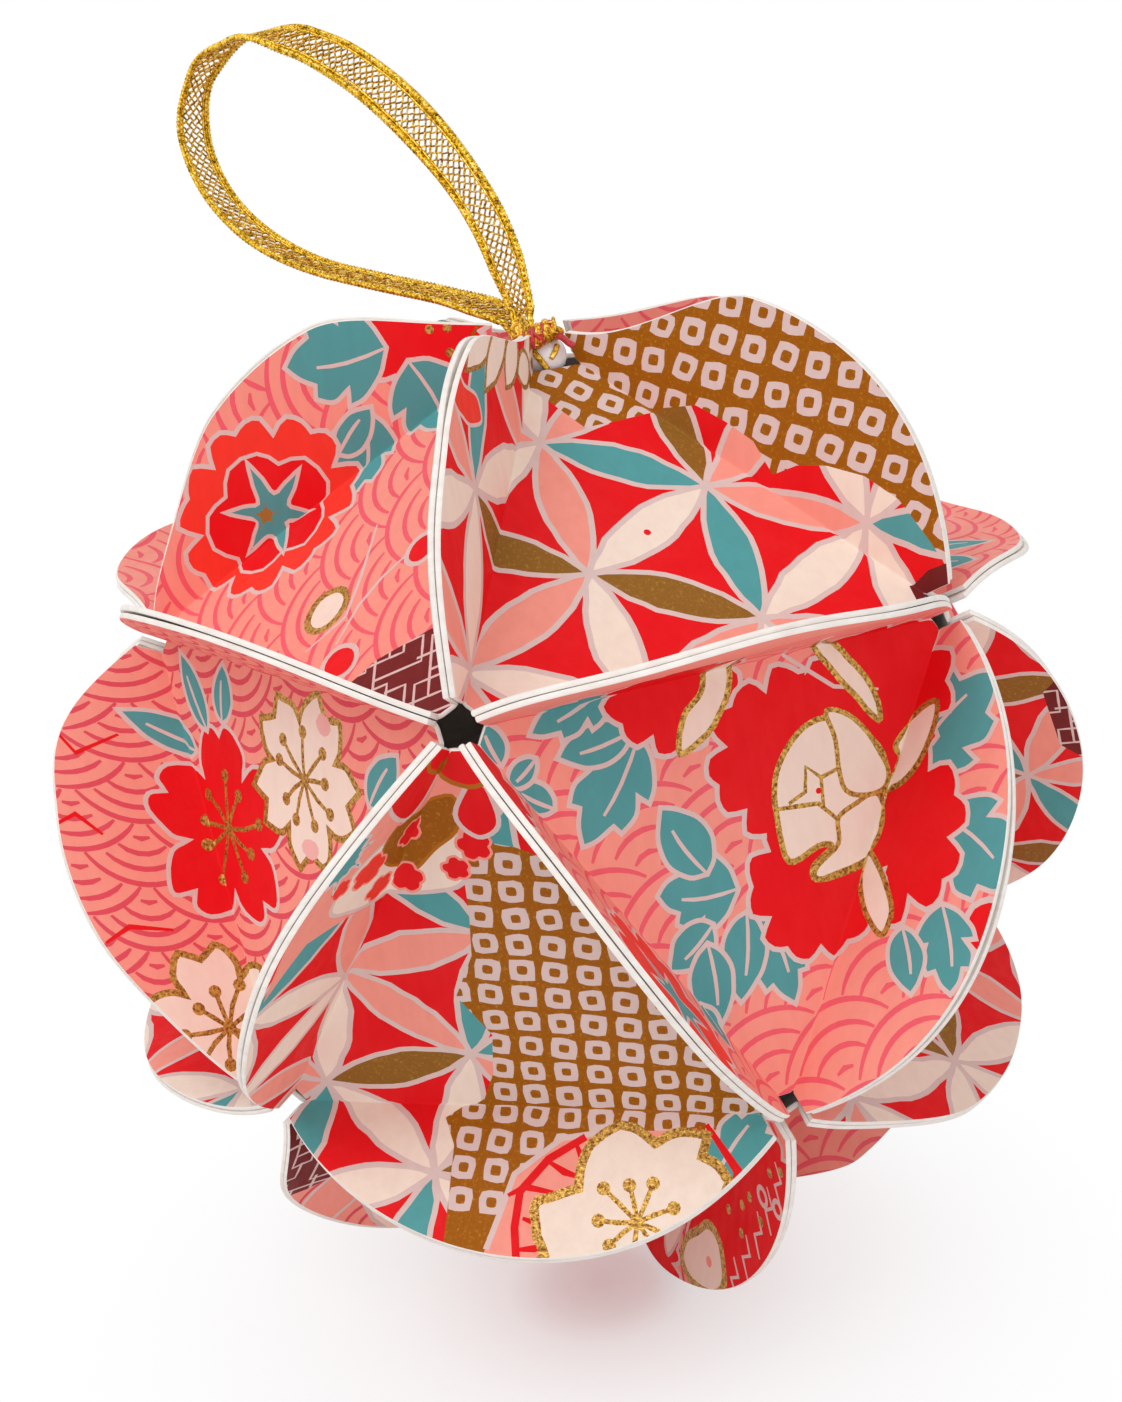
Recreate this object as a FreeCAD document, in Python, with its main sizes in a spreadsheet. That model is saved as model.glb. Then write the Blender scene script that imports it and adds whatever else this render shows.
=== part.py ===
import FreeCAD, Part

import math
import os

import Sketcher
from FreeCAD import Placement, Rotation, Vector

# Kusudama paper ball. Twenty round cards are each folded on three lines into a triangle with three
# flaps. The triangles are the faces of an icosahedron, and the flaps stand outward in the planes
# through the ball's centre, where the flaps of neighbouring cards are glued back to back.
# The ball stands on the five flap pairs round its lowest point, with a point straight up, where a
# loop of flat gold ribbon is bound with thread beside a bead.
# Millimetres, +Z up, the origin under the ball's centre on the surface that it stands on.
# One of the upper five points faces -Y.

os.makedirs("parts", exist_ok=True)
doc = FreeCAD.newDocument("kusudama_paper_ball")

SIZES = {
    "disc_diameter": 50.8,
    "corner_inset": 0.5,
    "card_thickness": 0.45,
    "crease_flat": 0.3,
    "glue_line": 0.1,
    "eyelet_radius": 1.8,
    "seat_clearance": 0.05,
    "bead_diameter": 3.7,
    "bead_bore": 1.0,
    "thread_diameter": 0.6,
    "knot_core_diameter": 1.3,
    "ribbon_width": 4.0,
    "ribbon_thickness": 0.35,
}
# Turns of thread on the knot, how much of a turn's width its crest takes, and its sides
WRAP_TURNS = 7
CREST_SHARE = 0.7
KNOT_SIDES = 12

# Angles of the icosahedron: a flap's plane to its face's normal, a corner's direction to that
# normal, and an edge to the plane square to the corner's direction
GOLDEN = (1 + math.sqrt(5)) / 2
FLAP_TILT = math.atan(1 / GOLDEN**2)
CORNER_TILT = math.atan(2 / GOLDEN**2)
FOLD_DROP = math.atan(1 / GOLDEN)
FIFTH = math.radians(72)

# The ball's four rings of cards, by how far their faces turn from the top point, the azimuth of
# the first card, and whether a card's lone corner points up
RINGS = {
    "crown": (CORNER_TILT, math.radians(-54), True),
    "upper": (CORNER_TILT + 2 * FLAP_TILT, math.radians(-54), False),
    "lower": (math.pi - CORNER_TILT - 2 * FLAP_TILT, math.radians(-90), True),
    "foot": (math.pi - CORNER_TILT, math.radians(-90), False),
}

# How far the cut round a corner reaches below and above the face, in fold distances
EYELET_BELOW = 0.5
EYELET_ABOVE = 1.0

# The bead sits in the hole at the top, against the cut corner of the first crown card. The knot lies
# on it, turned from +X and a little raised at its far end.
POCKET_AZIMUTH = math.radians(-54)
KNOT_TURN = math.radians(18)
KNOT_RISE = math.radians(8)
BORE_TURN = (math.radians(-126), math.radians(40))

# The ribbon's route from the middle of the knot round the loop and back, chosen by hand
RIBBON_ROUTE = [
    (-1.20, 0.02, 1.42),
    (-2.27, 0.62, 5.73),
    (-4.58, 2.21, 10.69),
    (-8.79, 4.61, 16.09),
    (-14.59, 8.21, 21.29),
    (-21.39, 12.21, 25.09),
    (-28.59, 16.21, 26.69),
    (-34.79, 18.71, 24.29),
    (-37.38, 19.11, 18.69),
    (-35.59, 17.61, 12.89),
    (-30.98, 15.01, 8.29),
    (-24.59, 12.01, 5.29),
    (-16.98, 8.81, 3.69),
    (-9.79, 5.81, 2.39),
    (-5.06, 3.42, 1.33),
    (-2.62, 1.52, 0.46),
]
ARC_SHARE = 0.45
RIBBON_FACING = Vector(-0.3, -0.93, 0.2)

# Sizes that follow from those. The folded triangle's corners lie a little inside the card's rim.
RULES = {
    "disc_radius": "=disc_diameter / 2",
    "fold_distance": "=(disc_radius - corner_inset) / 2",
    "corner_distance": "=fold_distance * 2",
    "half_side": "=fold_distance * sqrt(3)",
}

sheet = doc.addObject("Spreadsheet::Sheet", "Dimensions")
for row, (name, value) in enumerate({**SIZES, **RULES}.items(), start=1):
    sheet.set(f"A{row}", name)
    sheet.set(f"B{row}", str(value))
    sheet.setAlias(f"B{row}", name)
doc.recompute()


def size(name):
    return float(sheet.get(name))


def cell(name, factor=1.0):
    return f"Dimensions.{name} * {factor:.12f}"


# Lengths that follow from the sizes, as expressions on the sheet
RADIUS = cell("disc_radius")
FOLD = cell("fold_distance")
CORNER = cell("corner_distance")
HALF_SIDE = cell("half_side")
GLUE_PLANE = f"({FOLD} + {cell('glue_line', 0.5 / math.cos(FLAP_TILT))})"
FACE_OUT = f"({GLUE_PLANE} * {GOLDEN ** 2:.12f})"
RIM_CENTRE = (
    f"({FOLD} * {math.sin(FLAP_TILT) - 1:.12f} + {FACE_OUT} * {math.cos(FLAP_TILT):.12f})"
)
CENTRE_UP = f"({RADIUS} + {RIM_CENTRE} * {math.cos(FOLD_DROP):.12f})"

# The knot's axis passes its own width from the middle of the hole at the top
KNOT_RADIUS = f"({cell('knot_core_diameter', 0.5)} + {cell('thread_diameter', 0.5)})"
KNOT_HALF = cell("thread_diameter", 0.5 * WRAP_TURNS)
KNOT_ASIDE = KNOT_TURN - math.pi / 2
KNOT_OUT = f"({KNOT_RADIUS} * 2)"

# The hole at the top lets the whole knot in between its flat sides
HANGER_FLAT = (
    f"(sqrt(pow({KNOT_HALF}; 2) + pow({KNOT_OUT} + {KNOT_RADIUS}; 2)) + {cell('seat_clearance')})"
)
HANGER_HOLE = f"({HANGER_FLAT} * {1 / math.cos(FIFTH / 2):.12f})"

# The bead touches the cut corner of its card, with its middle half a bore above the card's face
BEAD_REACH = f"({cell('bead_diameter', 0.5)} + {cell('seat_clearance')})"
BEAD_PROUD = cell("bead_bore", 0.5)
BEAD_OUT = f"({HANGER_FLAT} - sqrt(pow({BEAD_REACH}; 2) - pow({BEAD_PROUD}; 2)))"
BEAD_UP = (
    f"(({FACE_OUT} + {cell('card_thickness')} - {HANGER_FLAT} * {math.sin(CORNER_TILT):.12f})"
    f" * {1 / math.cos(CORNER_TILT):.12f} + {BEAD_PROUD})"
)

# The knot's axis lies a bead's and a knot's radius from the bead's middle
KNOT_TO_BEAD = f"({BEAD_REACH} + {KNOT_RADIUS})"
BEAD_ACROSS = f"({BEAD_OUT} * {math.cos(POCKET_AZIMUTH - KNOT_ASIDE):.12f} - {KNOT_OUT})"
BEAD_ALONG = f"({BEAD_OUT} * {math.sin(POCKET_AZIMUTH - KNOT_ASIDE):.12f})"
KNOT_UP = (
    f"({BEAD_UP} + (sqrt(pow({KNOT_TO_BEAD}; 2) - pow({BEAD_ACROSS}; 2))"
    f" - {BEAD_ALONG} * {math.sin(KNOT_RISE):.12f}) * {1 / math.cos(KNOT_RISE):.12f})"
)


def origin_plane(body, role):
    return [part for part in body.Origin.OriginFeatures if part.Role == role][0]


def new_body(label):
    body = doc.addObject("PartDesign::Body", label)
    body.Label = label
    return body


def new_sketch(body, name, role="XY_Plane"):
    sketch = body.newObject("Sketcher::SketchObject", name)
    sketch.AttachmentSupport = [(origin_plane(body, role), "")]
    sketch.MapMode = "FlatFace"
    return sketch


def pin(sketch, edge, end, x_size, y_size):
    """Holds one point of a sketch at two sizes from the sketch's origin."""
    for kind, text in (("DistanceX", x_size), ("DistanceY", y_size)):
        number = sketch.addConstraint(Sketcher.Constraint(kind, -1, 1, edge, end, 1.0))
        sketch.setExpression(f"Constraints[{number}]", text)


def card_face(body):
    """The flat triangle of one card, with its back on the XY plane."""
    sketch = new_sketch(body, body.Label + "_face")
    fold = size("fold_distance")
    half = fold * math.sqrt(3)
    corners = [Vector(-half, -fold, 0), Vector(half, -fold, 0), Vector(0, 2 * fold, 0)]
    for number in range(3):
        ends = corners[number], corners[(number + 1) % 3]
        sketch.addGeometry(Part.LineSegment(*ends), False)
    for number in range(3):
        sketch.addConstraint(Sketcher.Constraint("Coincident", number, 2, (number + 1) % 3, 1))
    pin(sketch, 0, 1, f"-({HALF_SIDE})", f"-({FOLD})")
    pin(sketch, 1, 1, HALF_SIDE, f"-({FOLD})")
    pin(sketch, 2, 1, "0", CORNER)
    pad = body.newObject("PartDesign::Pad", body.Label + "_face_pad")
    pad.Profile = sketch
    pad.setExpression("Length", cell("card_thickness"))
    sketch.Visibility = False
    return pad


def card_flap(body):
    """One flap: the segment of the round card beyond the fold on the -Y side."""
    sketch = new_sketch(body, body.Label + "_flap")
    turn = Rotation(Vector(1, 0, 0), 90 + math.degrees(FLAP_TILT))
    sketch.AttachmentOffset = Placement(Vector(0, 0, 0), turn)
    sketch.setExpression(".AttachmentOffset.Base.y", f"-({FOLD})")
    radius, fold = size("disc_diameter") / 2, size("fold_distance")
    half = math.sqrt(radius**2 - fold**2)
    start = math.atan2(fold, half)
    rim = Part.ArcOfCircle(
        Part.Circle(Vector(0, -fold, 0), Vector(0, 0, 1), radius), start, math.pi - start
    )
    sketch.addGeometry(rim, False)
    sketch.addGeometry(Part.LineSegment(Vector(-half, 0, 0), Vector(half, 0, 0)), False)
    sketch.addConstraint(Sketcher.Constraint("Coincident", 0, 2, 1, 1))
    sketch.addConstraint(Sketcher.Constraint("Coincident", 0, 1, 1, 2))
    sketch.addConstraint(Sketcher.Constraint("PointOnObject", 1, 1, -1))
    sketch.addConstraint(Sketcher.Constraint("PointOnObject", 1, 2, -1))
    pin(sketch, 0, 3, "0", f"-({FOLD})")
    bend = sketch.addConstraint(Sketcher.Constraint("Radius", 0, radius))
    sketch.setExpression(f"Constraints[{bend}]", RADIUS)
    pad = body.newObject("PartDesign::Pad", body.Label + "_flap_pad")
    pad.Profile = sketch
    pad.Reversed = True
    pad.setExpression("Length", cell("card_thickness"))
    sketch.Visibility = False
    return pad


def three_times(body, feature, name):
    pattern = body.newObject("PartDesign::PolarPattern", body.Label + name)
    pattern.Originals = [feature]
    pattern.Axis = (origin_plane(body, "Z_Axis"), [""])
    pattern.Angle = 360
    pattern.Occurrences = 3
    body.Tip = pattern
    return pattern


def corner_eyelet(body, name, radius_size):
    """Snips off one card corner. Five such snips leave a five-sided eyelet round the line from the
    ball's centre through the ball's point, with its corners where the flaps meet."""
    hole = doc.addObject("PartDesign::SubtractivePrism", body.Label + name)
    body.addObject(hole)
    hole.Polygon = 5
    hole.setExpression("Circumradius", radius_size)
    hole.setExpression("Height", cell("fold_distance", EYELET_BELOW + EYELET_ABOVE))
    flat_to_face = Rotation(Vector(0, 0, 1), math.degrees(FIFTH / 4))
    lean = Rotation(Vector(1, 0, 0), -math.degrees(CORNER_TILT)).multiply(flat_to_face)
    hole.Placement = Placement(Vector(0, 0, 0), lean)
    back = cell("fold_distance", EYELET_BELOW * math.sin(CORNER_TILT))
    hole.setExpression(".Placement.Base.y", f"2 * {GLUE_PLANE} - {back}")
    down = cell("fold_distance", EYELET_BELOW * math.cos(CORNER_TILT))
    hole.setExpression(".Placement.Base.z", f"-({down})")
    return hole


def soften_creases(body):
    """Flattens the back of the three folds a little, as scored card folds."""
    fold = size("fold_distance")
    sharp = body.Tip
    edges = []
    for number, edge in enumerate(sharp.Shape.Edges, start=1):
        middle = edge.BoundBox.Center
        if abs(middle.z) < 0.01 and abs(math.hypot(middle.x, middle.y) - fold) < 0.01:
            edges.append(f"Edge{number}")
    crease = body.newObject("PartDesign::Chamfer", body.Label + "_creases")
    crease.Base = (sharp, edges)
    crease.setExpression("Size", cell("crease_flat"))
    body.Tip = crease
    return crease


def folded_card(label):
    body = new_body(label)
    card_face(body)
    flap = card_flap(body)
    three_times(body, flap, "_flaps")
    hole = corner_eyelet(body, "_corner", cell("eyelet_radius"))
    three_times(body, hole, "_corners")
    doc.recompute()
    soften_creases(body)
    doc.recompute()
    return body


def copy_of(pattern, label):
    """A body that repeats a pattern card and has a place of its own."""
    body = new_body(label)
    base = doc.addObject("PartDesign::FeatureBase", label + "_base")
    base.BaseFeature = pattern
    body.Group = [base]
    body.Tip = base
    return body


def place_at(piece, azimuth, out, up, turn):
    """Puts a piece at a distance from the ball's axis and a height over the ball's centre."""
    piece.Placement = Placement(Vector(0, 0, 0), turn)
    piece.setExpression(".Placement.Base.x", f"{out} * {math.cos(azimuth):.12f}")
    piece.setExpression(".Placement.Base.y", f"{out} * {math.sin(azimuth):.12f}")
    piece.setExpression(".Placement.Base.z", f"{CENTRE_UP} + {up}")


def place_card(card, turn, azimuth, corner_up):
    """Puts a card's face on its place on the ball, with its lone corner up or down."""
    outward = Vector(
        math.sin(turn) * math.cos(azimuth), math.sin(turn) * math.sin(azimuth), math.cos(turn)
    )
    uphill = Vector(
        -math.cos(turn) * math.cos(azimuth), -math.cos(turn) * math.sin(azimuth), math.sin(turn)
    )
    towards_corner = uphill if corner_up else -uphill
    across = towards_corner.cross(outward)
    card.Placement = Placement(Vector(0, 0, 0), Rotation(across, towards_corner, outward, "ZYX"))
    for axis in "xyz":
        text = f"{FACE_OUT} * {getattr(outward, axis):.12f}"
        if axis == "z":
            text = f"{CENTRE_UP} + {text}"
        card.setExpression(f".Placement.Base.{axis}", text)


def cards():
    """The twenty cards, by name."""
    plain = folded_card("plain_card_pattern")
    crown = copy_of(plain, "crown_card_pattern")
    corner_eyelet(crown, "_hanger_corner", HANGER_HOLE)
    doc.recompute()
    made = []
    for ring, (turn, first_azimuth, corner_up) in RINGS.items():
        pattern = crown if ring == "crown" else plain
        for number in range(5):
            card = copy_of(pattern, f"{ring}_disc_{number + 1}")
            place_card(card, turn, first_azimuth + number * FIFTH, corner_up)
            made.append(card)
    return made


def bead():
    ball = doc.addObject("Part::Sphere", "bead_ball")
    ball.setExpression("Radius", cell("bead_diameter", 0.5))
    bore = doc.addObject("Part::Cylinder", "bead_bore")
    bore.setExpression("Radius", cell("bead_bore", 0.5))
    bore.setExpression("Height", cell("bead_diameter", 2))
    bore.setExpression(".Placement.Base.z", cell("bead_diameter", -1))
    drilled = doc.addObject("Part::Cut", "bead")
    drilled.Base = ball
    drilled.Tool = bore
    azimuth, rise = BORE_TURN
    along = Vector(
        math.cos(rise) * math.cos(azimuth), math.cos(rise) * math.sin(azimuth), math.sin(rise)
    )
    place_at(drilled, POCKET_AZIMUTH, BEAD_OUT, BEAD_UP, Rotation(Vector(0, 0, 1), along))
    return drilled


def thread_knot():
    """Gathered ribbon ends under side by side turns of thread, as twelve-sided prisms."""
    body = new_body("thread_knot")
    rolls = [("core", cell("knot_core_diameter", 0.5), -WRAP_TURNS / 2, WRAP_TURNS)]
    for number in range(WRAP_TURNS):
        start = number - (WRAP_TURNS - 1 + CREST_SHARE) / 2
        rolls.append((f"turn_{number + 1}", KNOT_RADIUS, start, CREST_SHARE))
    for name, radius, start, length in rolls:
        roll = doc.addObject("PartDesign::AdditivePrism", f"thread_knot_{name}")
        body.addObject(roll)
        roll.Polygon = KNOT_SIDES
        roll.setExpression("Circumradius", radius)
        roll.setExpression("Height", cell("thread_diameter", length))
        roll.setExpression(".Placement.Base.z", cell("thread_diameter", start))
    along = Vector(
        math.cos(KNOT_RISE) * math.cos(KNOT_TURN),
        math.cos(KNOT_RISE) * math.sin(KNOT_TURN),
        math.sin(KNOT_RISE),
    )
    place_at(body, KNOT_ASIDE, KNOT_OUT, KNOT_UP, Rotation(Vector(0, 0, 1), along))
    return body


def rounded_route(points):
    """Straight runs joined by tangent arcs, as one wire, with the arcs' radii."""
    edges, radii = [], []
    begin = points[0]
    for before, corner, after in zip(points, points[1:], points[2:]):
        into, out = corner - before, after - corner
        shorter = min(into.Length, out.Length)
        cut = ARC_SHARE * shorter
        radii.append(cut / math.tan(into.getAngle(out) / 2))
        into.normalize()
        out.normalize()
        start, end = corner - into * cut, corner + out * cut
        inward = out - into
        inward.normalize()
        half_turn = into.getAngle(out) / 2
        centre = corner + inward * (radii[-1] / math.cos(half_turn))
        middle = centre - inward * radii[-1]
        edges.append(Part.LineSegment(begin, start).toShape())
        edges.append(Part.Arc(start, middle, end).toShape())
        begin = end
    edges.append(Part.LineSegment(begin, points[-1]).toShape())
    return Part.Wire(edges), radii


def ribbon_loop():
    """The flat ribbon, faced to the viewer where it leaves the knot."""
    route, radii = rounded_route([Vector(*point) for point in RIBBON_ROUTE])
    width, thickness = size("ribbon_width"), size("ribbon_thickness")
    start = Vector(*RIBBON_ROUTE[0])
    along = Vector(*RIBBON_ROUTE[1]) - start
    along.normalize()
    across = along.cross(RIBBON_FACING)
    across.normalize()
    face = across.cross(along)
    corners = [
        start + across * (side * width / 2) + face * (depth * thickness / 2)
        for side, depth in ((1, 1), (-1, 1), (-1, -1), (1, -1), (1, 1))
    ]
    band = route.makePipeShell([Part.makePolygon(corners)], True, False)
    expected = width * thickness * route.Length
    print(f"ribbon {route.Length:.1f} mm, volume {band.Volume:.1f} of {expected:.1f} mm3")
    print("ribbon arc radii " + " ".join(f"{radius:.1f}" for radius in radii))
    ribbon = doc.addObject("Part::Feature", "ribbon_loop")
    ribbon.Shape = band
    place_at(ribbon, KNOT_ASIDE, KNOT_OUT, KNOT_UP, Rotation())
    return ribbon


pieces = cards() + [bead(), thread_knot(), ribbon_loop()]
doc.recompute()

for made in doc.Objects:
    if "Invalid" in made.State or "Error" in made.State:
        raise RuntimeError(f"{made.Label} failed: {made.State}")
for piece in pieces:
    if piece.Shape.isNull() or not piece.Shape.isValid() or len(piece.Shape.Solids) != 1:
        raise RuntimeError(f"{piece.Label} isn't one valid solid")
for piece in pieces:
    piece.Shape.exportStep(f"parts/{piece.Label}.step")
print(f"{len(pieces)} pieces written")
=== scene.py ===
import math
import random

import bpy
import bmesh
from mathutils import Matrix, Vector, noise
from mathutils.geometry import delaunay_2d_cdt


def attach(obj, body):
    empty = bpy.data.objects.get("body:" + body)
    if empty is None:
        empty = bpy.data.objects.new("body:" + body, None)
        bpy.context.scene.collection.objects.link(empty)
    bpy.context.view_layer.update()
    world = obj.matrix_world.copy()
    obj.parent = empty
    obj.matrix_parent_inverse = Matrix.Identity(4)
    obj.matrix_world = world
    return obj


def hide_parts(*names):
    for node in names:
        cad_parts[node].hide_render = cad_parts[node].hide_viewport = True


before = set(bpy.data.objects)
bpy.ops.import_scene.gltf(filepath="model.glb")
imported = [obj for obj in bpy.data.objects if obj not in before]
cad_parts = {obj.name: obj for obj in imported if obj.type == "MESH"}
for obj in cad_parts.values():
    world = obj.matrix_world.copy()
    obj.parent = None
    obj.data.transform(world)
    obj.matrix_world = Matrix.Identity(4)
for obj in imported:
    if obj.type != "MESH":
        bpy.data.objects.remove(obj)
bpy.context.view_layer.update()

# Sizes of the cards and the ball in millimetres, as in the part's source
RADIUS, FOLD, THICK = 25.4, 12.45, 0.45
GLUE, EYELET, SEAT = 0.1, 1.8, 0.05
GOLDEN = (1 + math.sqrt(5)) / 2
TILT = math.atan(1 / GOLDEN**2)
CORNER_TILT = math.atan(2 / GOLDEN**2)
DROP = math.atan(1 / GOLDEN)
FIFTH = math.radians(72)
GLUE_PLANE = FOLD + GLUE * 0.5 / math.cos(TILT)
FACE_OUT = GLUE_PLANE * GOLDEN**2
CENTRE_UP = RADIUS + (FOLD * (math.sin(TILT) - 1) + FACE_OUT * math.cos(TILT)) * math.cos(DROP)
RINGS = {
    "crown": (CORNER_TILT, math.radians(-54), True),
    "upper": (CORNER_TILT + 2 * TILT, math.radians(-54), False),
    "lower": (math.pi - CORNER_TILT - 2 * TILT, math.radians(-90), True),
    "foot": (math.pi - CORNER_TILT, math.radians(-90), False),
}
POCKET = math.radians(-54)
KNOT_TURN, KNOT_RISE = math.radians(18), math.radians(8)
BEAD_R, BORE_R, KNOT_CORE, THREAD, TURNS = 1.85, 0.5, 0.65, 0.6, 7
KNOT_R = KNOT_CORE + THREAD / 2
KNOT_ASIDE = KNOT_TURN - math.pi / 2
KNOT_OUT = KNOT_R * 2
HANGER_HOLE = math.hypot(THREAD * TURNS / 2, KNOT_OUT + KNOT_R) + SEAT
REACH = BEAD_R + SEAT
BEAD_OUT = HANGER_HOLE - math.sqrt(REACH**2 - BORE_R**2)
BEAD_UP = (FACE_OUT + THICK - HANGER_HOLE * math.sin(CORNER_TILT)) / math.cos(CORNER_TILT) + BORE_R
BEAD_ACROSS = BEAD_OUT * math.cos(POCKET - KNOT_ASIDE) - KNOT_OUT
BEAD_ALONG = BEAD_OUT * math.sin(POCKET - KNOT_ASIDE)
KNOT_UP = BEAD_UP + (
    math.sqrt((REACH + KNOT_R) ** 2 - BEAD_ACROSS**2) - BEAD_ALONG * math.sin(KNOT_RISE)
) / math.cos(KNOT_RISE)
BEAD_AT = Vector((BEAD_OUT * math.cos(POCKET), BEAD_OUT * math.sin(POCKET), CENTRE_UP + BEAD_UP))
KNOT_AT = Vector(
    (KNOT_OUT * math.cos(KNOT_ASIDE), KNOT_OUT * math.sin(KNOT_ASIDE), CENTRE_UP + KNOT_UP)
)
KNOT_ALONG = Vector(
    (
        math.cos(KNOT_RISE) * math.cos(KNOT_TURN),
        math.cos(KNOT_RISE) * math.sin(KNOT_TURN),
        math.sin(KNOT_RISE),
    )
)

# Camera, measured from the photograph against the ball's twelve points
CAM_AT = Vector((41.22, -164.84, 66.86 + CENTRE_UP))
CAM_RIGHT = Vector((0.9718, 0.2141, -0.0991))
CAM_FORWARD = Vector((-0.2352, 0.9134, -0.3322))


def make_camera():
    camera = bpy.data.cameras.new("view")
    camera.sensor_fit = "HORIZONTAL"
    camera.sensor_width = 36
    camera.lens = 61.59
    camera.clip_start = 0.01
    view = bpy.data.objects.new("view", camera)
    bpy.context.collection.objects.link(view)
    forward = CAM_FORWARD.normalized()
    right = (CAM_RIGHT - forward * CAM_RIGHT.dot(forward)).normalized()
    up = right.cross(forward)
    turn = Matrix((right, up, -forward)).transposed().to_4x4()
    view.matrix_world = Matrix.Translation(CAM_AT / 1000) @ turn
    bpy.context.scene.camera = view


make_camera()

# The ribbon's route from the middle of the knot round the loop and back, in metres
RIBBON_ROUTE = [
    (-0.00120, 0.00002, 0.00142),
    (-0.00227, 0.00062, 0.00573),
    (-0.00458, 0.00221, 0.01069),
    (-0.00879, 0.00461, 0.01609),
    (-0.01459, 0.00821, 0.02129),
    (-0.02139, 0.01221, 0.02509),
    (-0.02859, 0.01621, 0.02669),
    (-0.03479, 0.01871, 0.02429),
    (-0.03738, 0.01911, 0.01869),
    (-0.03559, 0.01761, 0.01289),
    (-0.03098, 0.01501, 0.00829),
    (-0.02459, 0.01201, 0.00529),
    (-0.01698, 0.00881, 0.00369),
    (-0.00979, 0.00581, 0.00239),
    (-0.00506, 0.00342, 0.00133),
    (-0.00262, 0.00152, 0.00046),
]
# The turn of its width about the route: 0 is face on to the camera, -90 degrees is edge on
RIBBON_TURN = [(0.0, 44), (0.12, 36), (0.3, -4), (0.36, -20), (0.44, -70), (0.5, -108), (0.56, -134),
               (0.66, -132), (0.78, -124), (0.9, -124), (0.96, -136), (1.0, -142)]


def route_points():
    """The smooth line through the route, as evenly spaced points."""
    data = bpy.data.curves.new("ribbon_line", "CURVE")
    data.dimensions = "3D"
    spline = data.splines.new("NURBS")
    spline.points.add(len(RIBBON_ROUTE) - 1)
    for point, place in zip(spline.points, RIBBON_ROUTE):
        point.co = (*(Vector(place) + KNOT_AT / 1000), 1)
    spline.order_u = 3
    spline.use_endpoint_u = True
    spline.resolution_u = 24
    line = bpy.data.objects.new("ribbon_line", data)
    bpy.context.collection.objects.link(line)
    mesh = bpy.data.meshes.new_from_object(line)
    points = [v.co.copy() for v in mesh.vertices]
    bpy.data.objects.remove(line)
    bpy.data.meshes.remove(mesh)
    return points


def spaced(points, step):
    """Points at equal steps along a line, and the line's length."""
    sums = [0.0]
    for a, b in zip(points, points[1:]):
        sums.append(sums[-1] + (b - a).length)
    total = sums[-1]
    count = max(2, round(total / step))
    out, k = [], 0
    for number in range(count + 1):
        want = total * number / count
        while k < len(sums) - 2 and sums[k + 1] < want:
            k += 1
        share = (want - sums[k]) / max(1e-12, sums[k + 1] - sums[k])
        out.append(points[k].lerp(points[k + 1], min(1, max(0, share))))
    return out, total


def steps(table, x):
    """A smooth value from a table of (place, value)."""
    for (x0, y0), (x1, y1) in zip(table, table[1:]):
        if x <= x1:
            s = min(1, max(0, (x - x0) / (x1 - x0)))
            return y0 + (y1 - y0) * (s * s * (3 - 2 * s))
    return table[-1][1]


def linear(r, g, b):
    """A display colour, 0 to 255, as a linear one."""
    out = []
    for v in (r, g, b):
        v /= 255
        out.append(v / 12.92 if v <= 0.04045 else ((v + 0.055) / 1.055) ** 2.4)
    return (*out, 1.0)


class Nodes:
    """A small helper that adds and links shader nodes."""

    def __init__(self, name):
        self.material = bpy.data.materials.new(name)
        self.material.use_nodes = True
        self.tree = self.material.node_tree
        self.shader = self.tree.nodes["Principled BSDF"]
        self.coords = None

    def add(self, kind, **values):
        node = self.tree.nodes.new(kind)
        for key, value in values.items():
            setattr(node, key, value)
        return node

    def link(self, out, into):
        self.tree.links.new(out, into)

    def place(self):
        if self.coords is None:
            self.coords = self.add("ShaderNodeTexCoord").outputs["Object"]
        return self.coords

    def noise(self, scale, detail=2.0, rough=0.5, stretch=None):
        node = self.add("ShaderNodeTexNoise")
        node.inputs["Scale"].default_value = scale
        node.inputs["Detail"].default_value = detail
        node.inputs["Roughness"].default_value = rough
        source = self.place()
        if stretch:
            mapping = self.add("ShaderNodeMapping")
            mapping.inputs["Scale"].default_value = stretch
            self.link(source, mapping.inputs["Vector"])
            source = mapping.outputs["Vector"]
        self.link(source, node.inputs["Vector"])
        return node.outputs["Fac"]

    def ramp(self, value, *stops):
        node = self.add("ShaderNodeValToRGB")
        ramp = node.color_ramp
        while len(ramp.elements) < len(stops):
            ramp.elements.new(0.5)
        for element, (at, colour) in zip(ramp.elements, stops):
            element.position = at
            if not isinstance(colour, tuple):
                colour = (colour, colour, colour, 1)
            element.color = colour
        self.link(value, node.inputs["Fac"])
        return node.outputs["Color"]

    def span(self, value, low, high, to_low, to_high):
        node = self.add("ShaderNodeMapRange")
        for key, number in zip(("From Min", "From Max", "To Min", "To Max"), (low, high, to_low, to_high)):
            node.inputs[key].default_value = number
        self.link(value, node.inputs["Value"])
        return node.outputs["Result"]

    def mix(self, share, a, b, how="MIX"):
        node = self.add("ShaderNodeMix", data_type="RGBA", blend_type=how)
        for key, item in ((0, share), (6, a), (7, b)):
            if isinstance(item, bpy.types.NodeSocket):
                self.link(item, node.inputs[key])
            else:
                node.inputs[key].default_value = item
        return node.outputs[2]

    def bump(self, height, strength, distance):
        node = self.add("ShaderNodeBump")
        node.inputs["Strength"].default_value = strength
        node.inputs["Distance"].default_value = distance
        self.link(height, node.inputs["Height"])
        self.link(node.outputs["Normal"], self.shader.inputs["Normal"])

    def set(self, **values):
        for key, value in values.items():
            self.shader.inputs[key.replace("_", " ")].default_value = value


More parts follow.
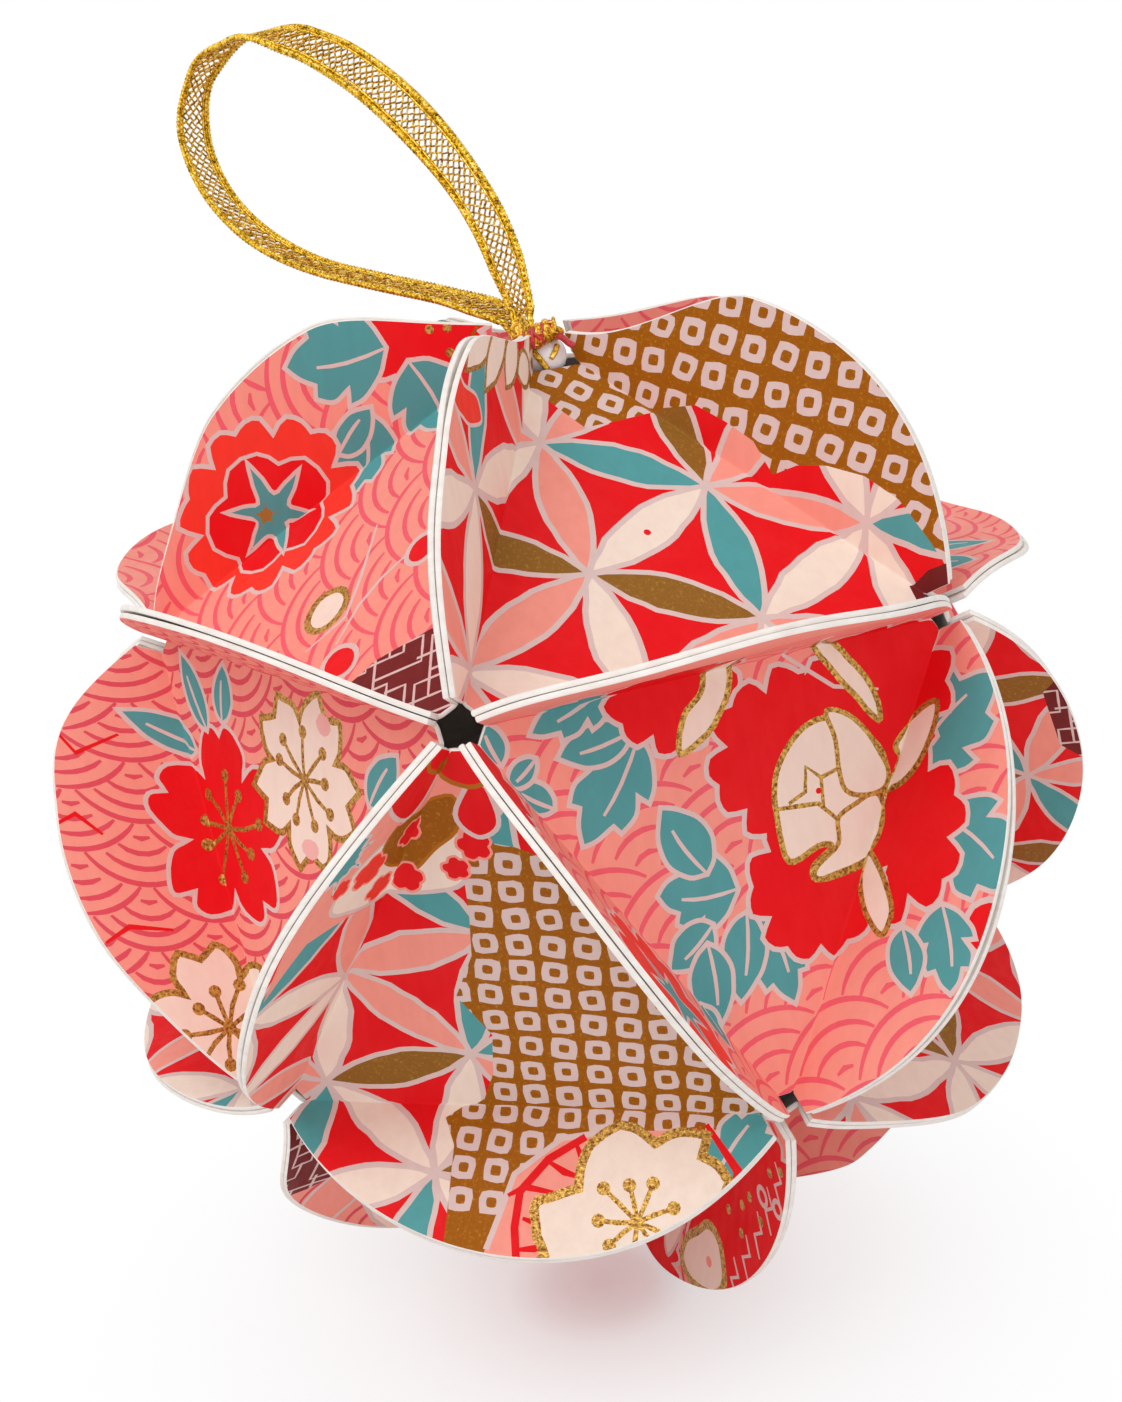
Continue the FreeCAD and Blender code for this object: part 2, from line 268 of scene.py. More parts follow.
def print_material():
    """Screen printed paper: flat ink fields over long mulberry fibres."""
    n = Nodes("printed_paper")
    ink = n.add("ShaderNodeAttribute", attribute_name="ink").outputs["Color"]
    wash = n.noise(160, 3, 0.6)
    fibre = n.noise(900, 2, 0.6, (1.0, 1.0, 0.25))
    colour = n.mix(n.span(wash, 0.4, 0.7, 0.0, 0.01), ink, linear(255, 225, 205))
    colour = n.mix(n.span(fibre, 0.35, 0.7, 0.0, 0.12), colour, n.mix(1.0, ink, linear(215, 195, 190), "MULTIPLY"))
    n.link(colour, n.shader.inputs["Base Color"])
    n.link(n.span(fibre, 0.3, 0.7, 0.5, 0.66), n.shader.inputs["Roughness"])
    n.set(Specular_IOR_Level=0.15)
    n.bump(fibre, 0.25, 0.00012)
    return n.material


def bronze_material():
    """The dull gold ink fields: brown ink full of metal grains."""
    n = Nodes("bronze_ink")
    ink = n.add("ShaderNodeAttribute", attribute_name="ink").outputs["Color"]
    grain = n.noise(3800, 2, 0.6)
    cloud = n.noise(230, 3, 0.6)
    dark = n.mix(1.0, ink, linear(222, 212, 180), "MULTIPLY")
    colour = n.mix(n.span(cloud, 0.35, 0.68, 0.0, 0.7), ink, dark)
    colour = n.mix(n.span(grain, 0.42, 0.62, 0.0, 0.3), dark, colour)
    colour = n.mix(n.span(grain, 0.6, 0.75, 0.0, 0.35), colour, linear(232, 178, 60))
    n.link(colour, n.shader.inputs["Base Color"])
    n.link(n.span(grain, 0.4, 0.65, 0.62, 0.45), n.shader.inputs["Roughness"])
    n.set(Metallic=0.08, Specular_IOR_Level=0.15)
    n.bump(grain, 0.3, 0.00008)
    return n.material


def gold_material():
    """Raised gold outlines with coarse glitter."""
    n = Nodes("gold_ink")
    ink = n.add("ShaderNodeAttribute", attribute_name="ink").outputs["Color"]
    grain = n.noise(3600, 3, 0.7)
    colour = n.mix(n.ramp(grain, (0.36, 0.0), (0.64, 1.0)), n.mix(1.0, ink, linear(150, 120, 60), "MULTIPLY"), n.mix(0.35, ink, linear(255, 225, 130)))
    n.link(colour, n.shader.inputs["Base Color"])
    n.link(n.span(grain, 0.35, 0.65, 0.5, 0.25), n.shader.inputs["Roughness"])
    n.set(Metallic=0.55)
    n.bump(grain, 0.6, 0.00012)
    return n.material


def card_material():
    """Bare white card at the cut edges and the back."""
    n = Nodes("bare_card")
    fibre = n.noise(1500, 3, 0.6)
    layer = n.noise(500, 2, 0.5, (1.0, 1.0, 3.0))
    colour = n.mix(n.span(layer, 0.35, 0.7, 0.0, 0.6), linear(252, 246, 240), linear(236, 226, 218))
    n.link(colour, n.shader.inputs["Base Color"])
    n.set(Roughness=0.75, Specular_IOR_Level=0.3)
    n.bump(fibre, 0.2, 0.00008)
    return n.material


# Inks
SALMON = linear(255, 162, 146)
ROSE = linear(247, 103, 117)
RED = linear(240, 14, 24)
SCARLET = linear(254, 60, 46)
TEAL = linear(86, 165, 168)
CREAM = linear(253, 235, 219)
PALE = linear(229, 205, 200)
OLIVE = linear(170, 122, 54)
OCHRE = linear(186, 114, 10)
MAROON = linear(118, 32, 32)
GOLD = linear(204, 150, 40)
PINK = linear(250, 190, 184)
SHEET = {"print": 0, "bronze": 1, "gold": 2, "card": 3}


def signed_area(points):
    return sum(
        a[0] * b[1] - b[0] * a[1] for a, b in zip(points, points[1:] + points[:1])
    )


def offset(points, distance):
    """A closed line moved outward by a distance, with its corners kept short."""
    side = 1 if signed_area(points) > 0 else -1
    out = []
    count = len(points)
    for k, p in enumerate(points):
        a, b = points[k - 1], points[(k + 1) % count]
        u = Vector((p[0] - a[0], p[1] - a[1]))
        v = Vector((b[0] - p[0], b[1] - p[1]))
        if u.length < 1e-9 or v.length < 1e-9:
            out.append(p)
            continue
        u.normalize()
        v.normalize()
        nu, nv = Vector((u.y, -u.x)), Vector((v.y, -v.x))
        m = nu + nv
        if m.length < 1e-6:
            out.append(p)
            continue
        m.normalize()
        reach = distance / max(0.45, m.dot(nu))
        out.append((p[0] + side * m.x * reach, p[1] + side * m.y * reach))
    return out


def curve(points, closed=True, per=6, sharp=()):
    """A smooth line through points. The ones named in sharp keep a corner."""
    count = len(points)
    out = []
    for k in range(count if closed else count - 1):
        p1, p2 = Vector(points[k]), Vector(points[(k + 1) % count])
        p0 = Vector(points[k - 1]) if closed or k > 0 else p1
        p3 = Vector(points[(k + 2) % count]) if closed or k + 2 < count else p2
        m1 = (p2 - p0) / 2 if k not in sharp else (p2 - p1) * 0.9
        m2 = (p3 - p1) / 2 if (k + 1) % count not in sharp else (p2 - p1) * 0.9
        for i in range(per):
            t = i / per
            h = (2 * t**3 - 3 * t**2 + 1, t**3 - 2 * t**2 + t, -2 * t**3 + 3 * t**2, t**3 - t**2)
            q = p1 * h[0] + m1 * h[1] + p2 * h[2] + m2 * h[3]
            out.append((q.x, q.y))
    if not closed:
        out.append(tuple(points[-1]))
    return out


class Print:
    """Ink shapes on one flat card, the later ones over the earlier."""

    def __init__(self, seed, ground=SALMON):
        self.rng = random.Random(seed)
        self.ground = ground
        self.clip = None
        self.shapes = []

    def fill(self, points, ink, sheet="print"):
        if len(points) > 2 and any(math.hypot(*p) < RADIUS for p in points):
            self.shapes.append((points, ink, sheet, self.clip))

    def force(self, points, ink, sheet="print"):
        self.shapes.append((points, ink, sheet, self.clip))

    def wobble(self, points, amount):
        shift = self.rng.uniform(0, 50)
        out = []
        for x, y in points:
            v = noise.noise_vector(Vector((x * 0.6 + shift, y * 0.6, shift)))
            out.append((x + v.x * amount, y + v.y * amount))
        return out

    def shape(self, points, ink, edge=PALE, width=0.42, sheet="print", edge_sheet="print", wobble=0.12):
        """A field of ink with an outline."""
        points = self.wobble(points, wobble)
        self.fill(offset(points, width / 2), edge, edge_sheet)
        self.fill(offset(points, -width / 2), ink, sheet)

    def line(self, points, width, ink, sheet="print", taper=0.5):
        """A brushed line, thinner at its ends."""
        left, right = [], []
        count = len(points)
        for k, p in enumerate(points):
            a, b = points[max(0, k - 1)], points[min(count - 1, k + 1)]
            d = Vector((b[0] - a[0], b[1] - a[1]))
            if d.length < 1e-9:
                continue
            d.normalize()
            t = k / max(1, count - 1)
            half = width / 2 * (1 - taper * abs(2 * t - 1) ** 3)
            left.append((p[0] - d.y * half, p[1] + d.x * half))
            right.append((p[0] + d.y * half, p[1] - d.x * half))
        self.fill(left + right[::-1], ink, sheet)

    def dot(self, x, y, r, ink, sheet="print", sides=10):
        turn = self.rng.uniform(0, 6)
        self.fill(
            [
                (x + r * math.cos(turn + 2 * math.pi * k / sides), y + r * math.sin(turn + 2 * math.pi * k / sides))
                for k in range(sides)
            ],
            ink,
            sheet,
        )

    # Grounds
    def waves(self, at=(0, 0), r=6.3, turn=0.0, ink=ROSE, rings=4, width=0.5):
        """Overlapping fans of concentric arcs. Each fan covers the ones behind it."""
        c, s = math.cos(math.radians(turn)), math.sin(math.radians(turn))
        pitch, rise = r * 1.9, r * 0.52
        lo, hi = -int(34 / rise) - 1, int(34 / rise) + 2

        def centre(i, j):
            return (i + 0.5 * (j % 2)) * pitch, j * rise

        for j in range(lo, hi):
            for i in range(-int(34 / pitch) - 1, int(34 / pitch) + 2):
                x0, y0 = centre(i, j)
                wx, wy = at[0] + x0 * c - y0 * s, at[1] + x0 * s + y0 * c
                if math.hypot(wx, wy) > RADIUS + r:
                    continue
                # fans in front: the rows below
                front = [
                    (a - x0, b - y0)
                    for a, b in [centre(i + di, j - dj) for dj in (1, 2, 3) for di in (-1, 0, 1)]
                ]
                grow = self.rng.uniform(0.96, 1.04)
                for ring in range(rings):
                    q = r * (1 - ring / rings) * (grow if ring else 1.0)
                    run = []
                    count = max(8, int(q * 5))
                    for k in range(count + 1):
                        a = math.pi * (-0.15 + 1.3 * k / count)
                        px, py = q * math.cos(a), q * math.sin(a)
                        hidden = any(math.hypot(px - fx, py - fy) < r + 0.08 for fx, fy in front)
                        gx, gy = at[0] + (x0 + px) * c - (y0 + py) * s, at[1] + (x0 + px) * s + (y0 + py) * c
                        hidden = hidden or math.hypot(gx, gy) > RADIUS + 0.6
                        if hidden:
                            if len(run) > 2:
                                self.line(run, width, ink)
                            run = []
                        else:
                            run.append((gx, gy))
                    if len(run) > 2:
                        self.line(run, width * (1.15 if ring == 0 else 1), ink)

    def petals(self, at, a, b, colours, edge=PALE, fat=0.27):
        """The woven six-petal ground: a lens on each edge of a net of triangles."""
        a, b = Vector(a), Vector(b)
        at = Vector(at)
        span = int(40 / a.length) + 2
        third = a - b
        for i in range(-span, span + 1):
            for j in range(-span, span + 1):
                n = at + a * i + b * j
                for step, name in ((a, "a"), (b, "b"), (third, "c")):
                    m = n + step
                    mid = (n + m) / 2
                    if mid.length > RADIUS + 6:
                        continue
                    ink = colours.get((i, j, name)) or colours["any"][self.rng.randrange(len(colours["any"]))]
                    d = (m - n).normalized()
                    w = Vector((-d.y, d.x)) * (m - n).length
                    count = 12
                    up = [n + (m - n) * (k / count) + w * fat * 0.5 * math.sin(math.pi * k / count) ** 0.85 for k in range(count + 1)]
                    down = [n + (m - n) * (k / count) - w * fat * 0.5 * math.sin(math.pi * k / count) ** 0.85 for k in range(count - 1, 0, -1)]
                    lens = self.wobble([(p.x, p.y) for p in up + down], 0.22)
                    self.fill(offset(lens, 0.24), edge)
                    self.fill(offset(lens, -0.26), ink, "bronze" if ink == OLIVE else "print")

    def squares(self, at=(0, 0), pitch=(2.75, 2.62), turn=0.0, ink=PALE, ground=OCHRE):
        """Rows of tied-dye squares, each with a small eye."""
        c, s = math.cos(math.radians(turn)), math.sin(math.radians(turn))
        reach = int(30 / pitch[0]) + 2
        for i in range(-reach, reach + 1):
            for j in range(-reach, reach + 1):
                x, y = i * pitch[0] + self.rng.uniform(-0.08, 0.08), j * pitch[1] + self.rng.uniform(-0.08, 0.08)
                gx, gy = at[0] + x * c - y * s, at[1] + x * s + y * c
                if math.hypot(gx, gy) > RADIUS + 0.8:
                    continue
                skew = self.rng.uniform(-8, 8)
                for half, tone, sheet in ((self.rng.uniform(1.02, 1.12), ink, "print"), (self.rng.uniform(0.4, 0.47), ground, "bronze")):
                    ring = []
                    for k in range(12):
                        t = math.radians(30 * k + 15 + turn + skew)
                        q = 2 * math.pi * k / 12 + math.radians(15)
                        # a rounded square
                        m = max(abs(math.cos(q)), abs(math.sin(q)))
                        rr = half / (m**0.6) * self.rng.uniform(0.95, 1.05)
                        ring.append((gx + rr * math.cos(t), gy + rr * math.sin(t)))
                    self.fill(ring, tone, sheet)

    def keys(self, at=(0, 0), turn=0.0, ink=PALE, unit=0.92, width=0.26):
        """A key fret of interlocking hooked lines."""
        c, s = math.cos(math.radians(turn)), math.sin(math.radians(turn))
        hooks = [
            [(0, 0), (0, 4), (3, 4), (3, 2), (1.6, 2)],
            [(0, 0), (5, 0), (5, 3), (2.8, 3)],
            [(0, 0), (0, -3), (-3, -3)],
        ]
        reach = int(30 / (unit * 5)) + 2
        for i in range(-reach, reach + 1):
            for j in range(-reach, reach + 1):
                bx, by = (i * 6 + j * 1.5) * unit, (j * 5 - i * 1.5) * unit
                gx, gy = at[0] + bx * c - by * s, at[1] + bx * s + by * c
                if math.hypot(gx, gy) > RADIUS + 5:
                    continue
                for hook in hooks:
                    run = []
                    for (x0, y0), (x1, y1) in zip(hook, hook[1:]):
                        for t in (0, 0.5):
                            x, y = (x0 + (x1 - x0) * t) * unit, (y0 + (y1 - y0) * t) * unit
                            run.append((gx + x * c - y * s, gy + x * s + y * c))
                    x, y = hook[-1][0] * unit, hook[-1][1] * unit
                    run.append((gx + x * c - y * s, gy + x * s + y * c))
                    self.line(run, width, ink, taper=0)

    # Motifs
    def cherry(self, x, y, r, turn=0.0, ink=RED, edge=PALE, edge_sheet="print", width=0.4, stamens=True, blush=None):
        """A five-petal blossom with notched petals and gold stamens."""
        points, sharp = [], []
        for k in range(5):
            base = turn + 72 * k
            tips = ((-36, 0.66), (-30, 0.82), (-20, 0.95), (-13, 1.03), (0, 0.87), (13, 1.03), (20, 0.95), (30, 0.82))
            round_tips = ((-36, 0.6), (-30, 0.78), (-16, 0.97), (-6, 1.0), (0, 0.88), (6, 1.0), (16, 0.97), (30, 0.78))
            for da, rr in tips if edge == GOLD else round_tips:
                a = math.radians(base + da)
                rr *= self.rng.uniform(0.97, 1.03)
                if da in (-36, 0) or abs(da) == 13:
                    sharp.append(len(points))
                points.append((x + r * rr * math.cos(a), y + r * rr * math.sin(a)))
        self.shape(curve(points, True, 3, sharp), ink, edge, width, edge_sheet=edge_sheet)
        if blush:
            for k in (0, 2):
                a = math.radians(turn + 72 * k)
                self.fill(self.wobble([(x + r * (0.78 * math.cos(a) + 0.16 * math.cos(t)), y + r * (0.78 * math.sin(a) + 0.12 * math.sin(t))) for t in [0.6 * q for q in range(10)]], 0.3), blush)
        if stamens:
            self.stamens(x, y, r * 0.52, turn + 12)

    def stamens(self, x, y, r, turn=0.0, count=9):
        for k in range(count):
            a = math.radians(turn + 360 * k / count + self.rng.uniform(-9, 9))
            q = r * self.rng.uniform(0.75, 1.12)
            bend = self.rng.uniform(-0.12, 0.12)
            mid = (x + 0.5 * q * math.cos(a + bend), y + 0.5 * q * math.sin(a + bend))
            end = (x + q * math.cos(a), y + q * math.sin(a))
            self.line([(x, y), mid, end], 0.44, GOLD, "gold", 0.2)
            self.dot(*end, 0.58, GOLD, "gold", 10)
        self.dot(x, y, 0.62, GOLD, "gold", 10)

    def peony(self, x, y, r, turn=0.0, ink=RED, edge=PALE, lobes=7, scallops=3, width=0.42, squash=1.0):
        """A wide blossom with scalloped petals."""
        points, sharp = [], []
        for k in range(lobes):
            for m in range(scallops):
                a0 = turn + 360 / lobes * (k + m / scallops)
                wide = 360 / lobes / scallops
                mound = 1 - 0.1 * abs((m + 0.5) / scallops * 2 - 1) ** 2
                for t, rr in ((0, 0.9 if m else 0.78), (0.3, 0.97), (0.7, 0.97)):
                    a = math.radians(a0 + wide * t)
                    q = r * rr * mound * self.rng.uniform(0.98, 1.02)
                    if t == 0:
                        sharp.append(len(points))
                    points.append((x + q * math.cos(a), y + q * squash * math.sin(a)))
        self.shape(curve(points, True, 2, sharp), ink, edge, width)

    def star(self, x, y, r, turn=0.0, ink=TEAL, edge=PALE, arms=6, waist=0.42):
        points, sharp = [], []
        for k in range(arms):
            grow = self.rng.uniform(0.85, 1.15)
            for da, rr in ((-180 / arms, waist), (-60 / arms, 0.62), (0, 1.0), (60 / arms, 0.62)):
                a = math.radians(turn + 360 / arms * k + da)
                if da == 0:
                    sharp.append(len(points))
                points.append((x + r * rr * grow * math.cos(a), y + r * rr * grow * math.sin(a)))
        self.shape(curve(points, True, 3, sharp), ink, edge, 0.36)

    def leaf(self, base, tip, width, lobes=0, ink=TEAL, edge=PALE, vein=True, sheet="print"):
        """A leaf from its base to its tip, plain or with pointed lobes."""
        base, tip = Vector(base), Vector(tip)
        along = tip - base
        across = Vector((-along.y, along.x)).normalized() * width / 2
        points, sharp = [(base.x, base.y)], [0]
        sides = ((0.12, 0.62), (0.35, 1.0), (0.62, 0.92), (0.84, 0.5))
        if lobes:
            sides = ((0.1, 0.55), (0.28, 1.0), (0.44, 1.12), (0.43, 0.74), (0.58, 0.95), (0.76, 0.82), (0.74, 0.52), (0.88, 0.34))
        for t, w in sides:
            if lobes and w in (1.12, 0.74, 0.82, 0.52):
                sharp.append(len(points))
            p = base + along * t + across * w
            points.append((p.x, p.y))
        sharp.append(len(points))
        points.append((tip.x, tip.y))
        for t, w in sides[::-1]:
            if lobes and w in (1.12, 0.74, 0.82, 0.52):
                sharp.append(len(points))
            p = base + along * t - across * w
            points.append((p.x, p.y))
        self.shape(curve(points, True, 4, sharp), ink, edge, 0.4, edge_sheet=sheet)
        if vein:
            bow = across * 0.18
            run = [base + along * t + bow * math.sin(math.pi * t) for t in (0.02, 0.2, 0.4, 0.55, 0.7)]
            self.line([(p.x, p.y) for p in run], 0.34, edge, taper=0.3)

    def outline(self, points, ink=CREAM, edge=GOLD, width=0.42, sharp=(), sheet="print"):
        """A hand-drawn closed shape with a gold line round it."""
        self.shape(curve(points, True, 5, sharp), ink, edge, width, sheet, "gold" if edge == GOLD else "print", 0.1)

    def oval(self, x, y, a, b, ink, edge=PALE, width=0.5):
        ring = [(x + a * math.cos(0.35 * k), y + b * math.sin(0.35 * k)) for k in range(18)]
        self.shape(ring, ink, edge, width, edge_sheet="gold" if edge == GOLD else "print")

    def waves_patch(self, points, ink, turn):
        """A stretch of dark ink with a key fret."""
        within = self.region(points)
        self.clip = [(within, True)]
        self.force(points, ink)
        self.keys((0, 0), turn)
        self.clip = None

    def heart(self, x, y, r, turn):
        """The pale folded heart of a peony, with gold lines."""
        for k, (away, size) in enumerate(((0.5, 0.62), (0.52, 0.6), (0.45, 0.66), (0.1, 0.62))):
            a = math.radians(turn + 120 * k)
            cx, cy = x + r * away * math.cos(a), y + r * away * math.sin(a)
            ring = [
                (cx + r * size * (1 + 0.14 * math.sin(3 * t + k)) * math.cos(t), cy + r * size * 0.9 * math.sin(t))
                for t in [0.35 * m for m in range(18)]
            ]
            self.shape(ring, CREAM, GOLD, 0.46, edge_sheet="gold")
        self.dot(x, y, 0.3, RED)

    def region(self, points):
        """A stretch that later shapes may be kept to, through clip."""
        self.shapes.append((points, None, "print", None))
        return len(self.shapes)



# The card's flat shape
WAYS = [Vector((math.cos(math.radians(a)), math.sin(math.radians(a)))) for a in (-90, 30, 150)]
CORNERS = [Vector((math.cos(math.radians(a)), math.sin(math.radians(a)))) * 2 * FOLD for a in (90, 210, 330)]
BEND = math.pi / 2 - TILT
BEND_R = 0.62
BEND_T = BEND_R * math.tan(BEND / 2)


def corner_snip(number, hole):
    """The cut across one corner: from the rim over a fold, across the face, over the next fold."""
    corner = CORNERS[number]
    sides = []
    for other, way in ((CORNERS[number - 1], WAYS[(number + 1) % 3]), (CORNERS[(number + 1) % 3], WAYS[(number + 2) % 3])):
        along = (other - corner).normalized()

        def at(q):
            return corner + along * ((hole - q * math.sin(DROP)) / math.cos(DROP)) + way * q

        low, high = 0.0, 6.0
        for _ in range(40):
            middle = (low + high) / 2
            if at(middle).length < RADIUS:
                low = middle
            else:
                high = middle
        sides.append((at(0.0), at(low / 2), at(low)))
    (fold_a, mid_a, rim_a), (fold_b, mid_b, rim_b) = sides
    return [rim_a, mid_a, fold_a, fold_b, mid_b, rim_b]


def flat_outline(holes):
    """The snipped round card, anticlockwise from its top corner."""
    snips = [corner_snip(k, hole) for k, hole in enumerate(holes)]
    points = []
    for number, snip in enumerate(snips):
        points += snip
        after = snips[(number + 1) % 3][0]
        a0, a1 = math.atan2(snip[-1].y, snip[-1].x), math.atan2(after.y, after.x)
        while a1 < a0:
            a1 += 2 * math.pi
        count = 84
        points += [
            Vector((RADIUS * math.cos(a0 + (a1 - a0) * k / count), RADIUS * math.sin(a0 + (a1 - a0) * k / count)))
            for k in range(1, count)
        ]
    return points


def folded(p, height):
    """A flat card point at a height over the card's back, after folding, and its fold and reach."""
    reach, number = max((p.dot(way) - FOLD, k) for k, way in enumerate(WAYS))
    if reach <= -BEND_T:
        return Vector((p.x, p.y, height)), number, 0.0
    way = WAYS[number]
    base = p - way * reach
    turn = min(1.0, (reach + BEND_T) / (2 * BEND_T)) * BEND
    out = -BEND_T + (BEND_R - height) * math.sin(turn)
    up = BEND_R - (BEND_R - height) * math.cos(turn)
    rest = max(0.0, reach - BEND_T)
    out += rest * math.cos(BEND)
    up += rest * math.sin(BEND)
    return Vector((base.x + way.x * out, base.y + way.y * out, up)), number, max(0.0, reach)


def card_frame(ring, number):
    turn, first, corner_up = RINGS[ring]
    azimuth = first + (number - 1) * FIFTH
    out = Vector((math.sin(turn) * math.cos(azimuth), math.sin(turn) * math.sin(azimuth), math.cos(turn)))
    hill = Vector((-math.cos(turn) * math.cos(azimuth), -math.cos(turn) * math.sin(azimuth), math.sin(turn)))
    up = hill if corner_up else -hill
    place = Matrix((up.cross(out), up, out)).transposed().to_4x4()
    place.translation = out * FACE_OUT + Vector((0, 0, CENTRE_UP))
    return place


# How the flap pairs stand in the photograph, beyond the plain fold, in mm: lean, twist, added
# height, slope and shift along the fold, then the share that each end of the rim dips. A pair is
# shared by two cards, so it is named by the place of its middle.
EDGE_FIT = {
    (0, -18, 74): (0.96, -0.48, 0.57, 0, 0.35, -0.18, 0.48),
    (-18, -24, 63): (1.18, -0.34, 0.06, 0.05, -0.03, 0, 0),
    (-11, -33, 45): (0.14, 0.12, 0, 0.06, 0.02, -0.02, 0),
    (-18, -6, 74): (0.26, 0.14, 0, 0.94, 0.87, 0.21, 0.3),
    (18, -6, 74): (0.95, 0.36, 0.94, 0.47, -0.05, 0.57, 0),
    (-28, -21, 45): (0.77, 0.16, 0.06, -1.44, -1.7, -0.16, 0.11),
    (-28, 9, 63): (4.5, -2.2, 1.95, -1.14, -2.8, 0, 0),
    (-28, -9, 26): (4.5, -2.17, 2.2, -2, 2.05, 0, 0),
    (-11, -15, 15): (-4.5, 2.2, 0.28, -2, -2.8, 0, 0),
    (0, -30, 26): (-0.33, 0.28, -0.18, 0.79, 0.58, 0, 0),
    (11, -15, 15): (2.3, -2.2, 0.78, 0.92, 0.56, 0, 0),
    (35, 0, 45): (-0.77, -1.08, -2.25, -0.19, -0.01, 0, 0),
    (28, -9, 26): (-0.47, 0.15, -0.75, 0.13, 0.03, 0.17, -0.07),
    (18, 6, 15): (4.5, -2.14, 2.2, -2, -1.98, 0, 0),
    (28, 9, 63): (4.5, -0.39, -2.6, 2, 2.8, 0, 0),
    (28, -21, 45): (-0.37, 0.27, 0.15, -0.46, -0.52, 0, 0),
    (18, -24, 63): (-1.02, -0.45, -0.14, -0.08, -0.05, 0, 0),
    (11, -33, 45): (0.33, -0.07, -0.19, -0.13, -0.3, 0.1, 0.14),
    (11, 15, 74): (-2.83, 0.16, -1.29, 1.29, 1.27, 0.4, 0),
    (-11, 15, 74): (-1.81, -0.27, -2.01, -0.68, -1, 0, 0.52),
    (28, 21, 45): (2.16, -0.05, -0.97, 0.05, 0.1, 0, 0),
}


def pair_key(middle):
    return tuple(round(v) for v in middle)


def pair_of(place, number):
    """The two cards' shared fold: its middle, its run, its way out and its side."""
    way = WAYS[number]
    middle = place @ Vector((way.x * GLUE_PLANE, way.y * GLUE_PLANE, 0))
    centre = Vector((0, 0, CENTRE_UP))
    out = (middle - centre).normalized()
    run = (place.to_3x3() @ Vector((-way.y, way.x, 0))).normalized()
    if tuple(round(c, 3) for c in run) < (0, 0, 0):
        run = -run
    side = out.cross(run)
    return middle, run, out, side


def pair_habits(key):
    rng = random.Random(repr(key))
    return {
        "lean": rng.uniform(-0.5, 0.5),
        "twist": rng.uniform(-0.5, 0.5),
        "wave": rng.uniform(-0.22, 0.22),
        "phase": rng.uniform(0, 6),
        "gap": rng.uniform(0.0, 0.22),
        "gap_at": rng.uniform(-0.6, 0.6),
    }


def taken_in(outline, place, pairs):
    """The outline with its rim cut lower towards the corners where the photographed rim runs lower."""
    turned = place.to_3x3()
    out = []
    for p in outline:
        reach, number = max((p.dot(way) - FOLD, k) for k, way in enumerate(WAYS))
        if reach > 0:
            way = WAYS[number]
            middle, run = pairs[number][:2]
            fit = EDGE_FIT.get(pair_key(middle), (0,) * 7)
            flat_run = Vector((-way.y, way.x))
            x = p.dot(flat_run) / (2 * FOLD * math.sin(math.pi / 3))
            if (turned @ flat_run.to_3d()).dot(run) < 0:
                x = -x
            p = p - way * (reach * max(0.0, fit[5 if x < 0 else 6]) * dip_share(x))
        out.append(p)
    return out


# Rims that lean towards the floor stay above it, in mm
FLOOR_ROOM = 0.8


def dip_share(x):
    near = min(1.0, max(0.0, (abs(x) - 0.25) / 0.6))
    return near * near * (3 - 2 * near)


def card_point(p, height, place, pairs, flaps):
    """A flat card point's place on the ball."""
    local, number, reach = folded(p, height)
    at = place @ local
    if reach <= 0:
        return at
    middle, run, out, side, habits, own = pairs[number]
    q = min(1.1, reach / (RADIUS - FOLD))
    x = (at - middle).dot(run) / (2 * FOLD * math.sin(math.pi / 3))
    tall, slope = flaps[number]
    soft = q * q * (3 - 2 * min(1, q)) if q < 1 else 1
    lean = habits["lean"] * soft + habits["twist"] * soft * x + habits["wave"] * q * math.sin(5 * x + habits["phase"])
    gap = habits["gap"] * q * q * max(0.0, 1 - (x - habits["gap_at"]) ** 2 * 2.5)
    fit = EDGE_FIT.get(pair_key(middle), (0,) * 7)
    lean += fit[0] * soft + fit[1] * soft * x
    tall += fit[2] + (slope + fit[3]) * x - lean * lean / 26
    ends = max(0.0, 1 - x**4)
    dip = reach * min(0.0, fit[5 if x < 0 else 6]) * dip_share(x)
    at = at + side * (lean * ends + own * gap) + (out * tall + run * fit[4]) * (q * ends) - out * dip
    if at.z < FLOOR_ROOM:
        at.z = FLOOR_ROOM * math.exp(at.z / FLOOR_ROOM - 1)
    return at


def card_grid():
    points = []
    step = 2.1
    for j in range(-13, 14):
        for i in range(-13, 14):
            p = Vector(((i + 0.5 * (j % 2)) * step, j * step * 0.866))
            if p.length < RADIUS - 0.8:
                points.append(p)
    return points


def fold_lines():
    """Lines that the folds' rounding needs in the mesh."""
    lines = []
    for way in WAYS:
        run = Vector((-way.y, way.x))
        for share in (-1.0, -0.5, 0.0, 0.5, 1.0):
            middle = way * (FOLD + share * BEND_T)
            half = math.sqrt(max(0.0, (RADIUS + 0.5) ** 2 - middle.length_squared))
            lines.append((middle - run * half, middle + run * half))
    return lines


def winds_round(ring, x, y):
    """Whether a closed line goes round a place."""
    turns = 0
    ax, ay = ring[-1]
    for bx, by in ring:
        if (ay <= y) != (by <= y):
            side = (bx - ax) * (y - ay) - (x - ax) * (by - ay)
            if ay <= y:
                turns += side > 0
            else:
                turns -= side < 0
        ax, ay = bx, by
    return turns != 0


